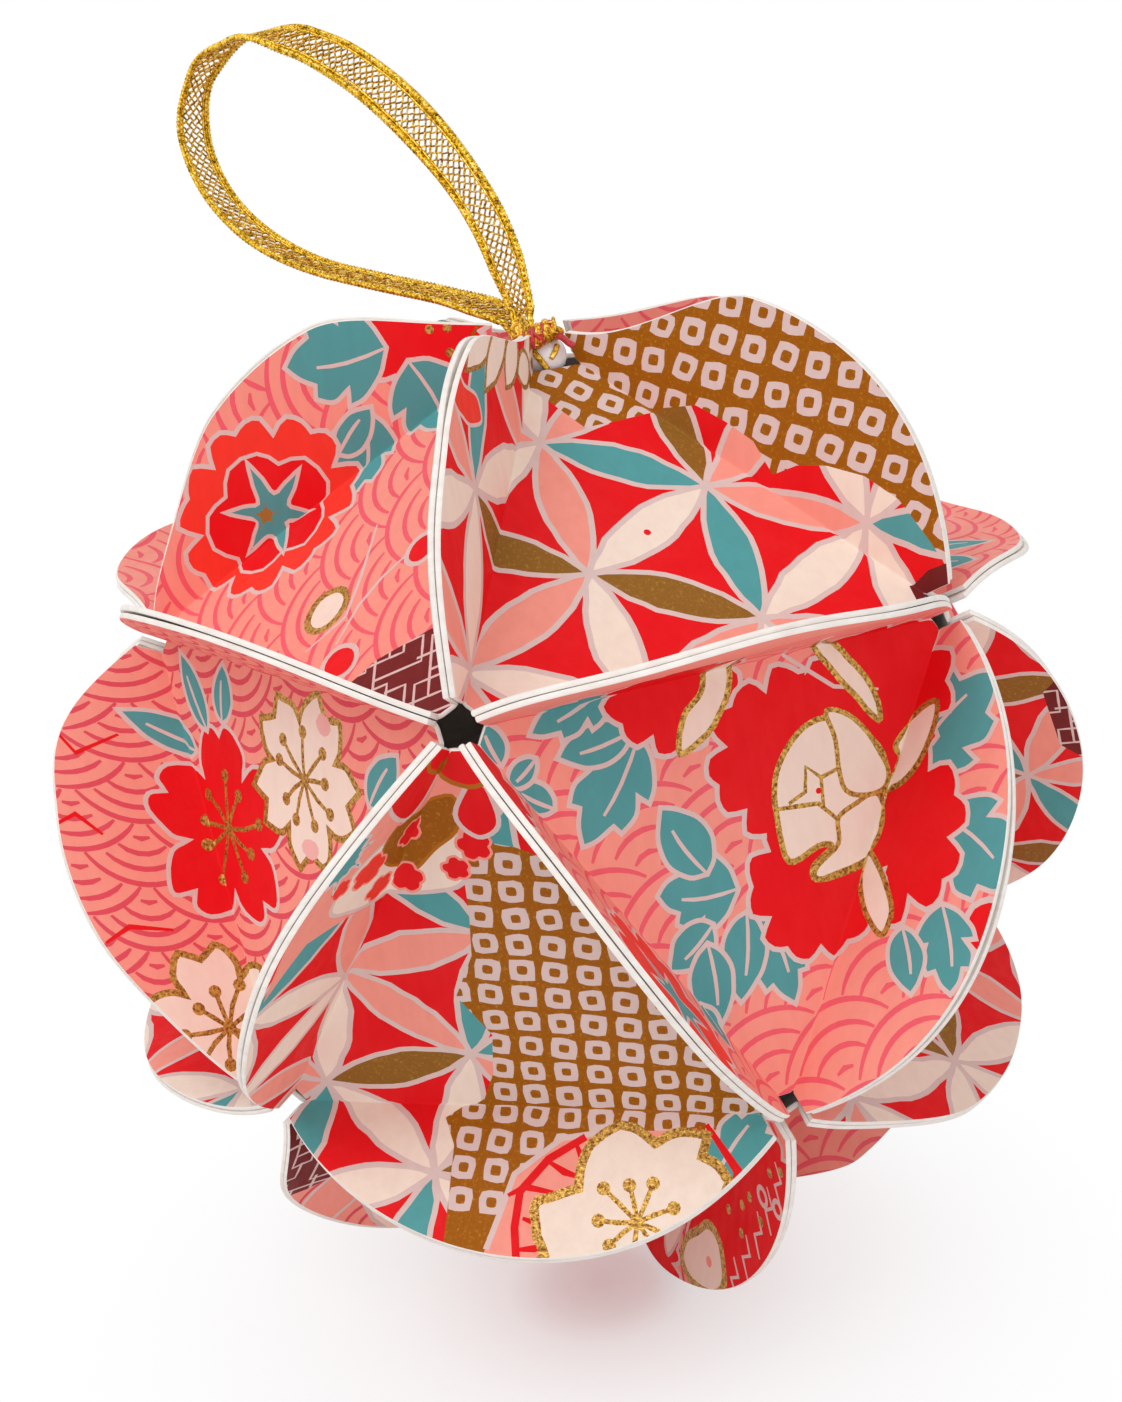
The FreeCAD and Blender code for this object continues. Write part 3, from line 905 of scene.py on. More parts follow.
def triangulate(outline, shapes):
    """Triangles of a flat shape, each with the number of the ink shape that shows there."""
    points, edges, faces = [], [], []
    for shape in [outline] + [s[0] for s in shapes]:
        if signed_area([tuple(p) for p in shape]) < 0:
            shape = shape[::-1]
        faces.append(list(range(len(points), len(points) + len(shape))))
        points += [Vector((p[0], p[1])) for p in shape]
    for a, b in fold_lines():
        edges.append((len(points), len(points) + 1))
        points += [a, b]
    points += card_grid()
    out, _, triangles, _, _, inside = delaunay_2d_cdt(points, edges, faces, 0, 1e-5, True)
    inside = [set(owners) for owners in inside]
    held, cells = [[] for _ in faces], {}
    owned = [0.0] * len(faces)
    middles = []
    for number, (a, b, c) in enumerate(triangles):
        ax, ay = out[a]
        bx, by = out[b]
        cx, cy = out[c]
        area = abs((bx - ax) * (cy - ay) - (by - ay) * (cx - ax)) / 2
        x, y = (ax + bx + cx) / 3, (ay + by + cy) / 3
        middles.append((x, y))
        cells.setdefault((math.floor(2 * x), math.floor(2 * y)), []).append(number)
        for k in inside[number]:
            owned[k] += area
            held[k].append(number)
    for k, face in enumerate(faces):
        ring = [tuple(points[v]) for v in face]
        area = abs(signed_area(ring))
        if abs(owned[k] - area) < 0.12 * area + 0.02:
            continue
        # the line crosses itself: the triangles near it are tested one by one
        for number in held[k]:
            inside[number].discard(k)
        low_x, high_x = math.floor(2 * min(p[0] for p in ring)), math.floor(2 * max(p[0] for p in ring))
        low_y, high_y = math.floor(2 * min(p[1] for p in ring)), math.floor(2 * max(p[1] for p in ring))
        for i in range(max(-52, low_x), min(52, high_x) + 1):
            for j in range(max(-52, low_y), min(52, high_y) + 1):
                for number in cells.get((i, j), ()):
                    if winds_round(ring, *middles[number]):
                        inside[number].add(k)
    kept = []
    for triangle, owners in zip(triangles, inside):
        if 0 not in owners:
            continue
        top = 0
        for k in sorted(owners, reverse=True):
            if k == 0 or shapes[k - 1][1] is None:
                continue
            clip = shapes[k - 1][3]
            if clip is None or all((c in owners) == wanted for c, wanted in clip):
                top = k
                break
        kept.append((tuple(triangle), top))
    return out, kept


def make_card(name, ring, number, design, seed, flaps):
    drawing = Print(seed)
    design(drawing)
    place = card_frame(ring, number)
    pairs = []
    for k in range(3):
        middle, run, out, side = pair_of(place, k)
        own = 1.0 if (place.translation - middle).dot(side) > 0 else -1.0
        pairs.append((middle, run, out, side, pair_habits(pair_key(middle)), own))
    rng = random.Random(seed + 77)
    holes = [EYELET * rng.uniform(0.85, 1.12) for _ in range(3)]
    if ring == "crown":
        holes[0] = HANGER_HOLE / math.cos(FIFTH / 2)
    outline = taken_in(flat_outline(holes), place, pairs)
    flat, triangles = triangulate(outline, drawing.shapes)
    used = sorted({v for t, _ in triangles for v in t})
    index = {v: k for k, v in enumerate(used)}
    verts = [card_point(flat[v], THICK, place, pairs, flaps) for v in used]
    maps = [tuple(flat[v]) for v in used]
    faces, inks, sheets = [], [], []
    for triangle, top in triangles:
        a, b, c = triangle
        if (flat[b] - flat[a]).cross(flat[c] - flat[a]) < 0:
            b, c = c, b
        faces.append((index[a], index[b], index[c]))
        if top:
            _, ink, sheet, _ = drawing.shapes[top - 1]
        else:
            ink, sheet = drawing.ground, "print"
        inks.append(ink)
        sheets.append(SHEET[sheet])
    # the rim, rounded over its thickness
    following = {}
    seen = set()
    for f in faces:
        for a, b in zip(f, f[1:] + f[:1]):
            seen.add((a, b))
    for a, b in seen:
        if (b, a) not in seen:
            following[a] = b
    start = next(iter(following))
    loop = [start]
    while following[loop[-1]] != start:
        loop.append(following[loop[-1]])
    edge_flat = [Vector(maps[v]) for v in loop]
    outward = []
    for k, p in enumerate(edge_flat):
        d = edge_flat[(k + 1) % len(loop)] - edge_flat[k - 1]
        outward.append(Vector((d.y, -d.x)).normalized())
    rows = [loop]
    for level, (height, bulge) in enumerate(((0.38, 0.05), (0.2, 0.075), (0.07, 0.05), (0.0, 0.0)), start=1):
        first = len(verts)
        for p, o in zip(edge_flat, outward):
            verts.append(card_point(p + o * bulge, height, place, pairs, flaps))
            maps.append(tuple(p + o * 0.3 * level))
        rows.append(list(range(first, first + len(loop))))
    for upper, lower in zip(rows, rows[1:]):
        for k in range(len(loop)):
            m = (k + 1) % len(loop)
            faces.append((upper[m], upper[k], lower[k], lower[m]))
            inks.append(CREAM)
            sheets.append(SHEET["card"])
    # the back
    back_flat, back = triangulate([tuple(p) for p in edge_flat], [])
    known = {(round(p.x, 3), round(p.y, 3)): v for p, v in zip(edge_flat, rows[-1])}
    back_index = {}
    front_count = len(faces)
    for triangle, _ in back:
        ids = []
        for v in triangle:
            if v not in back_index:
                p = back_flat[v]
                key = (round(p.x, 3), round(p.y, 3))
                if key in known:
                    back_index[v] = known[key]
                else:
                    back_index[v] = len(verts)
                    verts.append(card_point(p, 0.0, place, pairs, flaps))
                    maps.append(tuple(p))
            ids.append(back_index[v])
        a, b, c = triangle
        if (back_flat[b] - back_flat[a]).cross(back_flat[c] - back_flat[a]) > 0:
            ids = [ids[0], ids[2], ids[1]]
        if len(set(ids)) == 3:
            faces.append(tuple(ids))
            inks.append(CREAM)
            sheets.append(SHEET["card"])
    mesh = bpy.data.meshes.new(name + "_paper")
    mesh.from_pydata([v / 1000 for v in verts], [], faces)
    for material in CARD_MATERIALS:
        mesh.materials.append(material)
    mesh.polygons.foreach_set("material_index", sheets)
    ink_layer = mesh.attributes.new("ink", "FLOAT_COLOR", "CORNER")
    uv = mesh.uv_layers.new(name="OFBake")
    colours, spots = [], []
    span = 2 * (RADIUS + 1.4)
    for k, f in enumerate(faces):
        for v in f:
            colours.extend(inks[k])
            x, y = maps[v]
            if k < front_count:
                spots.extend((0.36 + x / span * 0.7, 0.36 + y / span * 0.7))
            else:
                spots.extend((0.85 - x / span * 0.28, 0.85 + y / span * 0.28))
    ink_layer.data.foreach_set("color", colours)
    uv.data.foreach_set("uv", spots)
    mesh.shade_smooth()
    mesh.set_sharp_from_angle(angle=math.radians(35))
    mesh.validate()
    piece = bpy.data.objects.new(name + "_paper", mesh)
    bpy.context.collection.objects.link(piece)
    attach(piece, "root")
    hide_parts(name)
    return piece


# What is printed on each card. Places are on the flat card, in millimetres from its middle.
def crown_1(p):
    p.ground = RED
    colours = {
        "any": [CREAM, SALMON, TEAL, OLIVE, CREAM, SALMON],
        (0, 0, "a"): TEAL, (0, 0, "b"): SALMON, (0, 0, "c"): SALMON, (0, 1, "a"): OLIVE, (0, 1, "b"): CREAM,
        (0, 1, "c"): CREAM, (1, 0, "a"): SALMON, (1, 0, "b"): TEAL, (1, 0, "c"): SALMON, (1, -1, "b"): OLIVE,
        (-1, 1, "c"): CREAM, (-1, 1, "a"): OLIVE, (-1, 1, "b"): CREAM, (-1, 2, "c"): SALMON, (-1, 2, "a"): CREAM,
        (1, 1, "c"): CREAM, (2, -1, "b"): CREAM, (2, 0, "a"): TEAL, (2, 0, "b"): CREAM, (0, -1, "b"): CREAM,
        (-1, 0, "a"): SALMON, (-1, 0, "b"): TEAL, (1, 1, "a"): SALMON,
    }
    p.petals((-4.7, 12.5), (11.9, -7.9), (-1.5, -14.2), colours)
    p.dot(0.2, 1.1, 0.32, RED)
    band = [(-4, 19.5), (-2.2, 16.8), (-0.3, 13.2), (3, 13.3), (7.8, 13.6), (10.5, 12.3), (12.2, 9.8), (13.6, 7.2),
            (13.8, 4.0), (16, 3.6), (18.2, 2.3), (20.6, 0), (22.3, -3), (23.2, -7), (24, -12), (30, -10), (30, 28), (-4, 28)]
    within = p.region(band)
    p.clip = [(within, True)]
    p.force(band, OCHRE, "bronze")
    p.squares((5.0, 17.4), (2.84, 2.92), -45)
    p.clip = None
    for base, tip in (((-13.5, 21.5), (-20.2, 14.6)), ((-11, 22), (-15.6, 14.6)), ((-8, 22), (-10.6, 16.6)), ((-4, 21), (-7.4, 18.8))):
        p.leaf(base, tip, 3.0, ink=CREAM, edge=GOLD, vein=False, sheet="gold")
    p.outline([(-23, 14.5), (-20.5, 13.4), (-17.5, 13.6), (-16.4, 12), (-18.4, 10.9), (-20.5, 10.8), (-23, 11.6)], SCARLET, PALE, 0.3)
    corner = [(19.4, -9.8), (22, -9), (27, -9.5), (27, -15), (19, -15)]
    p.force(corner, MAROON)


def crown_5(p):
    p.waves((-6, -2), 6.6, 128)
    p.waves_patch([(13.2, -4.9), (24, -14), (7.2, -13.6), (9.2, -9.2)], MAROON, 38)
    p.peony(-9.4, 21.6, 6.6, 20, RED, PALE, 6, 2)
    for x, y in ((-7.4, 22.4), (-8.8, 21.6), (-6.4, 20.6)):
        p.dot(x, y, 0.4, GOLD, "gold")
    p.line([(-5.0, 24), (-5.3, 21), (-6, 19.2)], 0.4, OCHRE, "bronze")
    p.leaf((-11.8, 18.6), (-19.6, 13.6), 7.6, 1)
    p.leaf((-9.6, 18.4), (-3.2, 13.4), 6.4, 1)
    p.leaf((-11.6, 13.2), (-8.6, 4.0), 6.2, 1)
    p.leaf((-12.4, 8.6), (-11.2, 13.6), 3.0)
    p.peony(-15.8, 1.4, 9.3, 10, SCARLET, PALE, 7, 2)
    p.peony(-15.8, 1.2, 6.2, 34, RED, PALE, 5, 1, 0.34)
    p.star(-16.0, 1.6, 5.0, 20, TEAL, PALE, 6, 0.36)
    p.star(-16.4, 1.2, 1.5, 50, OLIVE, TEAL, 5, 0.5)
    p.line([(-2.2, 2.8), (0.4, -2.4), (2.0, -6.4), (0.2, -10.4)], 0.34, PALE)
    p.line([(4.4, 1.6), (3.0, -2), (2.6, -5), (3.2, -9)], 0.34, PALE)
    p.oval(-0.8, -6.2, 1.9, 2.25, CREAM, GOLD, 0.7)
    p.oval(5.3, 1.5, 1.5, 1.75, RED, PALE, 0.5)
    p.oval(5.1, -10.4, 1.8, 1.7, RED, PALE, 0.5)
    p.oval(-3.6, -12.6, 2.0, 1.2, RED, PALE, 0.5)


def upper_1(p):
    p.waves((-7, 24), 7.0, 200)
    p.peony(17.2, 13.2, 8.8, 0, SCARLET, PALE, 6, 2)
    p.star(17.0, 13.2, 4.9, 30, TEAL, PALE, 6, 0.38)
    p.peony(24.6, -7.4, 5.6, 0, RED, PALE, 6, 2)
    p.oval(-21.5, 14.2, 2.3, 2.2, RED, PALE, 0.5)
    for base, tip, width, lobes in (
        ((-17.6, 11.4), (-17.0, 18.4), 5.0, 1), ((-13.6, 12.4), (-13.4, 17.8), 3.4, 0),
        ((-18.4, 4.2), (-24.2, 11.6), 7.6, 1), ((-16.6, -0.4), (-25.6, -5.6), 7.6, 1),
        ((-0.4, 7.2), (-2.2, 16.0), 5.0, 1), ((0.8, 7.4), (2.6, 14.6), 4.0, 0),
        ((1.2, 5.4), (8.2, 4.2), 6.0, 1), ((3.6, 3.6), (6.6, -2.6), 4.4, 0),
        ((3.8, 7.6), (8.2, 10.4), 3.4, 0), ((4.6, 9.0), (5.0, 16.4), 3.8, 0), ((6.0, 13.6), (6.6, 18.4), 3.2, 0),
        ((7.4, -8.6), (13.6, -1.2), 6.2, 1), ((8.0, -9.0), (14.4, -8.4), 3.4, 0),
        ((8.6, -13.4), (16.2, -10.6), 4.4, 1),
        ((15.2, -4.6), (18.6, -7.4), 2.4, 0), ((16.0, -8.8), (18.8, -7.0), 2.0, 0), ((18.8, -8.8), (19.8, -12.6), 2.2, 0),
    ):
        p.leaf(base, tip, width, lobes)
    p.peony(4.0, -12.4, 6.4, 60, RED, PALE, 6, 2)
    p.peony(-13.6, 4.4, 8.0, 100, RED, PALE, 6, 2)
    p.peony(-6.2, 6.6, 7.2, 20, RED, PALE, 6, 2)
    p.peony(-4.8, -4.2, 7.4, -20, RED, PALE, 6, 2)
    p.peony(-14.6, -7.4, 7.6, 200, RED, PALE, 6, 2)
    p.fill([(-16, -6), (-16, 7), (-5, 8), (-2, 2), (-3, -7), (-9, -11)], RED)
    p.line([(-14, -7.5), (-10, -8.6), (-6, -12), (-5.4, -16)], 0.36, PALE)
    p.outline([(-12.8, 4.2), (-10.4, 6.2), (-6.2, 6.6), (-5.6, 5.4), (-7.6, 4.2), (-6.4, 3.8), (-3.6, 4.4), (-3.2, 0.4),
               (-3.8, -3.0), (-6.4, -5.8), (-9.4, -6.2), (-12, -4.4), (-13.6, -2.0), (-13.4, 0.8)], CREAM, GOLD, 0.5)
    p.outline([(-12.8, 4.2), (-10.6, 6.0), (-6.4, 6.5), (-5.8, 5.6), (-8.2, 4.0), (-8.6, 2.0), (-10.4, 1.2), (-12.6, 1.0)], CREAM, GOLD, 0.42)
    p.outline([(-13.6, -1.6), (-13.2, 0.6), (-10.6, 0.6), (-9.4, -0.8), (-9.4, -4.4), (-9.0, -6.8), (-11.4, -5.6)], CREAM, GOLD, 0.42)
    p.line([(-8.6, 2.2), (-7.0, 0.4), (-5.2, 0.2), (-3.4, 0.0)], 0.4, GOLD, "gold", 0.2)
    p.line([(-9.4, -2.0), (-7.6, -1.6), (-6.4, -2.8), (-6.0, -0.8), (-4.4, -0.2)], 0.4, GOLD, "gold", 0.2)
    p.line([(-7.6, -1.6), (-7.4, 1.0)], 0.4, GOLD, "gold", 0.2)
    p.dot(-7.2, -0.6, 0.26, RED)
    for points in (
        [(-11.4, 5.8), (-12.6, 8.6), (-12.8, 11.0), (-11.6, 12.6), (-10.4, 10.8), (-10.2, 8.0)],
        [(-13.0, 1.0), (-15.6, 0.8), (-18.2, -1.4), (-19.8, -4.8), (-17.0, -4.2), (-14.8, -2.6), (-15.2, -1.2)],
        [(-13.6, -5.0), (-13.4, -8.0), (-11.2, -11.2), (-8.6, -14.8), (-8.2, -17), (-8.6, -12.6), (-10.6, -9.2)],
        [(4.2, -6.4), (1.0, -8.0), (-1.0, -11.4), (-0.6, -16.4), (1.0, -13.2), (1.6, -10.8), (3.4, -9.2)],
    ):
        p.outline(points, CREAM, GOLD, 0.5)
    p.line([(-13.0, 4.0), (-12.8, 1.2), (-13.6, 0.8)], 0.4, GOLD, "gold", 0.2)


def upper_5(p):
    p.waves((-4, 4), 5.6, 20, ink=linear(232, 84, 100))
    p.cherry(9.0, 2.8, 9.2, 66, RED)
    p.cherry(-2.6, -4.2, 7.4, 100, CREAM, GOLD, "gold", 0.6, blush=PINK)
    p.cherry(6.4, 20.8, 7.2, 20, CREAM, GOLD, "gold", 0.6)
    p.leaf((-11.6, -4.0), (-15.2, -9.0), 3.6)
    p.leaf((10.2, -6.4), (10.2, -11.8), 3.0)
    p.leaf((12.6, -5.2), (17.4, -11.6), 2.8)
    p.leaf((14.4, -3.0), (22.2, -4.4), 3.0)
    for points in (((21.5, -2), (24, 1), (26, -1)), ((20.5, 8), (23, 7), (24.5, 9)), ((13, 14.2), (16.5, 15.4), (18, 17.6))):
        p.line(list(points), 0.5, RED)


def lower_1(p):
    p.ground = RED
    colours = {
        "any": [CREAM, SALMON, TEAL, OLIVE, CREAM],
        (0, 0, "a"): SALMON, (0, 0, "b"): CREAM, (0, 0, "c"): SALMON, (0, 1, "c"): OLIVE, (0, 1, "a"): CREAM,
        (-1, 0, "a"): CREAM, (-1, 0, "c"): TEAL, (0, -1, "b"): SALMON, (-1, 1, "a"): SALMON, (1, 0, "b"): CREAM,
        (0, 1, "b"): TEAL, (-1, 1, "c"): CREAM, (0, 2, "a"): SALMON, (0, 2, "c"): CREAM, (1, -1, "a"): TEAL,
    }
    p.petals((-14.0, 2.4), (10.0, -8.9), (-3.4, -12.4), colours)
    band = [(-1.5, 12), (0.2, 15), (3, 14.4), (8, 12), (30, 6), (30, -30), (-6, -30), (-6.0, -16.4), (-7, -14),
            (-3.6, -11.4), (-2.4, -8.6), (-1.8, -4.4), (-4.2, -0.4), (-2.2, 3.8), (-1.7, 8)]
    within = p.region(band)
    p.clip = [(within, True)]
    p.force(band, OCHRE, "bronze")
    p.squares((2.1, 10.2), (2.76, 2.62), -3)
    p.clip = None
    p.fill([(-3, -30), (-2.4, -24), (-0.5, -18.6), (3.2, -15.6), (8.2, -14.6), (16, -14.2), (19, -18), (18, -30)], SALMON)
    p.line([(8.4, -14.4), (3.2, -15.4), (-0.6, -18.6), (-2.4, -25)], 0.5, PALE, taper=0)
    p.line([(0.4, -27), (-0.2, -23), (0.0, -20), (2.2, -17.2), (5.2, -15.2)], 0.7, RED, taper=0.1)
    for points in (((-1.0, -20.4), (0.4, -19.6), (3.2, -20.0)), ((0.4, -22.2), (1.8, -22.6), (3.0, -22.4)),
                   ((2.2, -17.4), (3.6, -18.2), (5.0, -18.6)), ((0.2, -24.8), (1.6, -24.6), (2.8, -24.2)), ((4.4, -15.8), (5.0, -17), (6.2, -17.2))):
        p.line(list(points), 0.62, RED)
    p.fill([(12.6, -14.4), (14.2, -14.0), (16.4, -14.6), (16.8, -16.4), (15.0, -15.4)], RED)
    p.leaf((15.6, -19.4), (20.4, -11.6), 4.8, 1)
    p.line([(15.2, -13.8), (18.0, -17.6), (17.6, -22)], 0.8, RED)
    p.shape(
        curve([(2.6, -27), (2.5, -25), (1.7, -23.6), (1.3, -21.4), (1.6, -20.6), (3.0, -20.2), (4.9, -19.4), (4.9, -17.6), (5.6, -15.8),
               (6.6, -14.9), (8.0, -14.1), (9.4, -14.4), (11.0, -15.5), (12.2, -14.8), (13.5, -14.5), (15.3, -14.7), (15.0, -16.4),
               (16.4, -17.2), (17.4, -18.4), (17.0, -20.4), (18.0, -23), (17, -27)], True, 3, (2, 4, 6, 8, 10, 12, 15, 16, 18)),
        CREAM, GOLD, 0.8, edge_sheet="gold",
    )
    p.stamens(9.9, -21.9, 3.9, 24, 9)
    # the bits of blossom by the top corner
    p.fill([(-22, 12), (-17, 20), (-10, 26), (4, 27), (2.4, 20), (0, 14.4), (-4, 10.4), (-9, 10.0), (-12.6, 12.4), (-17, 14.4)], SALMON)
    p.outline([(-12.4, 12.8), (-9, 10.4), (-4.2, 10.2), (-1.4, 11.4), (-1.6, 15.6), (-4.8, 17.0), (-8, 19), (-12, 18.6), (-14.4, 16)], CREAM, PALE, 0.4)
    p.outline([(-8.8, 18.2), (-8.2, 14.6), (-6, 12.2), (-3.6, 14), (-1.2, 16.4), (-1.2, 19.2), (-4.6, 18.6), (-6.6, 20)], OCHRE, OCHRE, 0.3, sheet="bronze")
    for x, y, r in ((-10.2, 16.8, 1.9), (-5.6, 16.6, 1.6), (-9.4, 12.6, 1.5), (-6.2, 11.6, 1.5), (-0.2, 14.6, 1.5), (-2.0, 12.4, 1.2), (-5.8, 20.8, 1.5), (-13.2, 18.2, 1.2)):
        p.peony(x, y, r, x * 40, SCARLET if x < -8 else RED, SALMON, 5, 1, 0.22)
    p.outline([(-7.6, 25), (-6.4, 19.8), (-3.4, 20.6), (-1.4, 25.6)], RED, PALE, 0.4)
    p.outline([(0.6, 20.6), (-1.2, 17.4), (0.2, 15.4), (2.0, 16.4), (1.8, 19.4)], RED, PALE, 0.4)
    p.outline([(-3.4, 23.6), (-1.0, 20.4), (1.8, 20.6), (3.4, 26), (-2.6, 26)], RED, OCHRE, 0.4, sheet="print")
    p.dot(-1.9, 22.4, 0.8, OCHRE, "bronze")
    p.star(-12.6, 22.4, 3.6, 70, TEAL, PALE, 8, 0.7)


def wavy(flowers, turn, leaves=5, ink=ROSE, corner=None):
    """A card of waves with blossoms and leaves set about it."""

    def draw(p):
        rng = p.rng
        p.waves((rng.uniform(-5, 5), rng.uniform(-5, 5)), rng.uniform(5.6, 7.0), turn, ink)
        if corner is not None:
            p.waves_patch(corner, MAROON, turn + 30)
        for x, y, r, kind in flowers:
            for k in range(leaves if kind != "bud" else 2):
                a = math.radians(360 / max(1, leaves) * k + rng.uniform(-20, 20) + turn)
                base = (x + 0.75 * r * math.cos(a), y + 0.75 * r * math.sin(a))
                b = a + rng.uniform(-0.3, 0.3)
                size = rng.uniform(0.9, 1.25) * 6.4
                tip = (base[0] + size * math.cos(b), base[1] + size * math.sin(b))
                p.leaf(base, tip, rng.uniform(3.2, 5.4), rng.random() < 0.55)
        for x, y, r, kind in flowers:
            spin = rng.uniform(0, 72)
            if kind == "cherry":
                p.cherry(x, y, r, spin, RED)
            elif kind == "pale":
                p.cherry(x, y, r, spin, CREAM, GOLD, "gold", 0.6, blush=PINK)
            elif kind == "bud":
                p.oval(x, y, r, r * 1.15, RED, PALE, 0.5)
            elif kind == "star":
                p.peony(x, y, r, spin, SCARLET, PALE, 7, 2)
                p.peony(x, y, r * 0.66, spin + 30, RED, PALE, 5, 1, 0.34)
                p.star(x, y, r * 0.55, spin, TEAL, PALE, 6, 0.38)
            else:
                p.peony(x, y, r, spin, RED, PALE, 7, 3)
                p.heart(x, y, r * 0.55, spin)

    return draw


def woven(at, turn, band=None, flower=None, corner=None, square_turn=0):
    """A card of the six-petal ground, in part under a band of tied-dye squares."""

    def draw(p):
        p.ground = RED
        a = Vector((13.8, 0))
        spin = Matrix.Rotation(math.radians(turn), 2)
        b = Matrix.Rotation(math.radians(60), 2) @ a
        p.petals(at, spin @ a, spin @ b, {"any": [CREAM, SALMON, TEAL, CREAM, SALMON, OLIVE]})
        if band is not None:
            within = p.region(band)
            p.clip = [(within, True)]
            p.force(band, OCHRE, "bronze")
            p.squares((0, 0), (2.8, 2.75), square_turn)
            p.clip = None
        if corner is not None:
            p.waves_patch(corner, MAROON, turn)
        if flower is not None:
            x, y, r = flower
            p.leaf((x - r * 0.7, y), (x - r * 1.5, y + r * 0.5), r * 0.6, 1)
            p.leaf((x + r * 0.3, y - r * 0.7), (x + r * 0.8, y - r * 1.5), r * 0.5, 1)
            p.cherry(x, y, r, p.rng.uniform(0, 72), CREAM, GOLD, "gold", 0.6)

    return draw


def foot_1(p):
    p.waves((0, 0), 6.6, 170, ink=linear(232, 84, 100))
    p.cherry(3, -6, 8, 20, RED)
    p.leaf((-4, -12), (-10, -17), 5.4, 1)
    p.leaf((8, -2), (12, 6), 4.8, 1)
    p.peony(-13.5, 21, 7, 0, RED, PALE, 8, 3)
    p.peony(-19.5, 1.5, 12.4, 10, RED, PALE, 10, 3)
    for k in range(5):
        p.line([(-24.8, 9.4 - 3.4 * k), (-23.2, 8.4 - 3.4 * k), (-23.8, 7.2 - 3.4 * k), (-22.4, 6.4 - 3.4 * k)], 0.4, PALE)
    p.outline([(-22.6, 9.4), (-22.8, 12), (-20.6, 14.8), (-18, 15.4), (-16.8, 13.6), (-17.4, 11), (-18.2, 8.6), (-20.4, 7.8)], CREAM, GOLD, 0.8)
    p.dot(-20.4, 10.8, 0.5, SALMON)
    p.outline([(-16, 17.6), (-13.4, 16.6), (-12, 12), (-13.8, 11.2), (-15.6, 13.4)], CREAM, PALE, 0.4)
    for x, y, r in ((-22.3, -2.3, 0.75), (-24.4, -3.7, 0.65), (-19.6, -5.4, 0.6)):
        p.oval(x, y, r, r * 0.9, RED, PALE, 0.42)
    for x, y in ((-21.9, 3.6), (-20.6, 1.6), (-23.2, -0.2), (-21.0, -0.2), (-22.2, -5.4), (-23.4, -7.2), (-19.4, 4.2), (-18.8, -2.2)):
        p.dot(x, y, 0.42, GOLD, "gold")
    p.waves_patch([(13, -30), (13.5, -10), (16, -1), (19, 1), (24, 0.6), (30, -2), (30, -30)], MAROON, 62)
    p.leaf((16.4, 1.0), (20.4, 19), 6.4, ink=CREAM, vein=False)
    p.leaf((16.6, 0.6), (28, 8), 5.6, ink=SALMON, vein=False)


DESIGNS = {
    "crown_disc_1": crown_1,
    "crown_disc_5": crown_5,
    "upper_disc_1": upper_1,
    "upper_disc_5": upper_5,
    "lower_disc_1": lower_1,
    "crown_disc_2": wavy([(-8, -8, 8, "pale"), (7, 6, 8.6, "star"), (-4, 18, 4, "bud"), (18, -12, 6, "cherry")], 150),
    "crown_disc_3": woven((3, 2), 12, [(-30, -4), (-8, -2), (0, -9), (4, -18), (30, -30), (-30, -30)], (12, 14, 7), square_turn=20),
    "crown_disc_4": wavy([(0, -2, 9.4, "peony"), (16, 14, 6.6, "cherry"), (-18, 12, 5.6, "pale")], 40, 6),
    "upper_disc_2": wavy([(4, 6, 9.0, "peony"), (-14, -10, 7.0, "pale"), (16, -12, 6.0, "cherry")], 75, 5, linear(232, 84, 100)),
    "upper_disc_3": woven((-4, -3), -8, None, (-10, 12, 7.4), [(8, -30), (10, -14), (18, -6), (30, -2), (30, -30)]),
    "upper_disc_4": wavy([(5, 5, 9.0, "cherry"), (16, -12, 6.4, "pale"), (-6, 19, 5.4, "cherry")], 100, 5, ROSE,
                         [(-30, -8), (-14, -9), (-9, -14), (-8, -30), (-30, -30)]),
    "lower_disc_2": woven((6.5, 1.0), 38, None, None, [(14, 30), (13, 20), (18, 15), (30, 14), (30, 30)]),
    "lower_disc_3": wavy([(-6, 2, 9.2, "star"), (12, -10, 7.2, "pale"), (13, 14, 6.2, "cherry")], 10, 5),
    "lower_disc_4": woven((0, 6), 25, [(6, 30), (4, 10), (9, 2), (6, -8), (12, -30), (30, -30), (30, 30)], (-8, -16, 6.6), square_turn=-12),
    "lower_disc_5": woven((-3, -2), 52, None, (8, 10, 7), [(-30, -30), (-30, -6), (-16, -8), (-10, -14), (-6, -30)]),
    "foot_disc_1": foot_1,
    "foot_disc_2": wavy([(0, 8, 8.4, "cherry"), (-14, -8, 6.8, "star"), (15, -10, 6.2, "pale")], 220, 5),
    "foot_disc_3": woven((2, -4), -22, [(-30, 8), (-10, 6), (2, 10), (12, 6), (30, 12), (30, 30), (-30, 30)], None, square_turn=45),
    "foot_disc_4": wavy([(2, 0, 9.6, "peony"), (-16, 12, 6.0, "cherry"), (16, 14, 5.6, "pale")], 300, 6),
    "foot_disc_5": wavy([(8, -6, 8.0, "pale"), (-10, 6, 7.8, "cherry"), (8, 18, 5.2, "bud")], 30, 4, ROSE,
                        [(-30, -2), (-18, -6), (-12, -14), (-14, -30), (-30, -30)]),
}

CARD_MATERIALS = [print_material(), bronze_material(), gold_material(), card_material()]
cards = []
for ring in RINGS:
    for number in range(1, 6):
        name = f"{ring}_disc_{number}"
        seed = 100 + len(cards)
        rng = random.Random(seed)
        flaps = [(rng.uniform(-0.15, 0.35), rng.uniform(-0.2, 0.2)) for _ in range(3)]
        cards.append(make_card(name, ring, number, DESIGNS[name], seed, flaps))


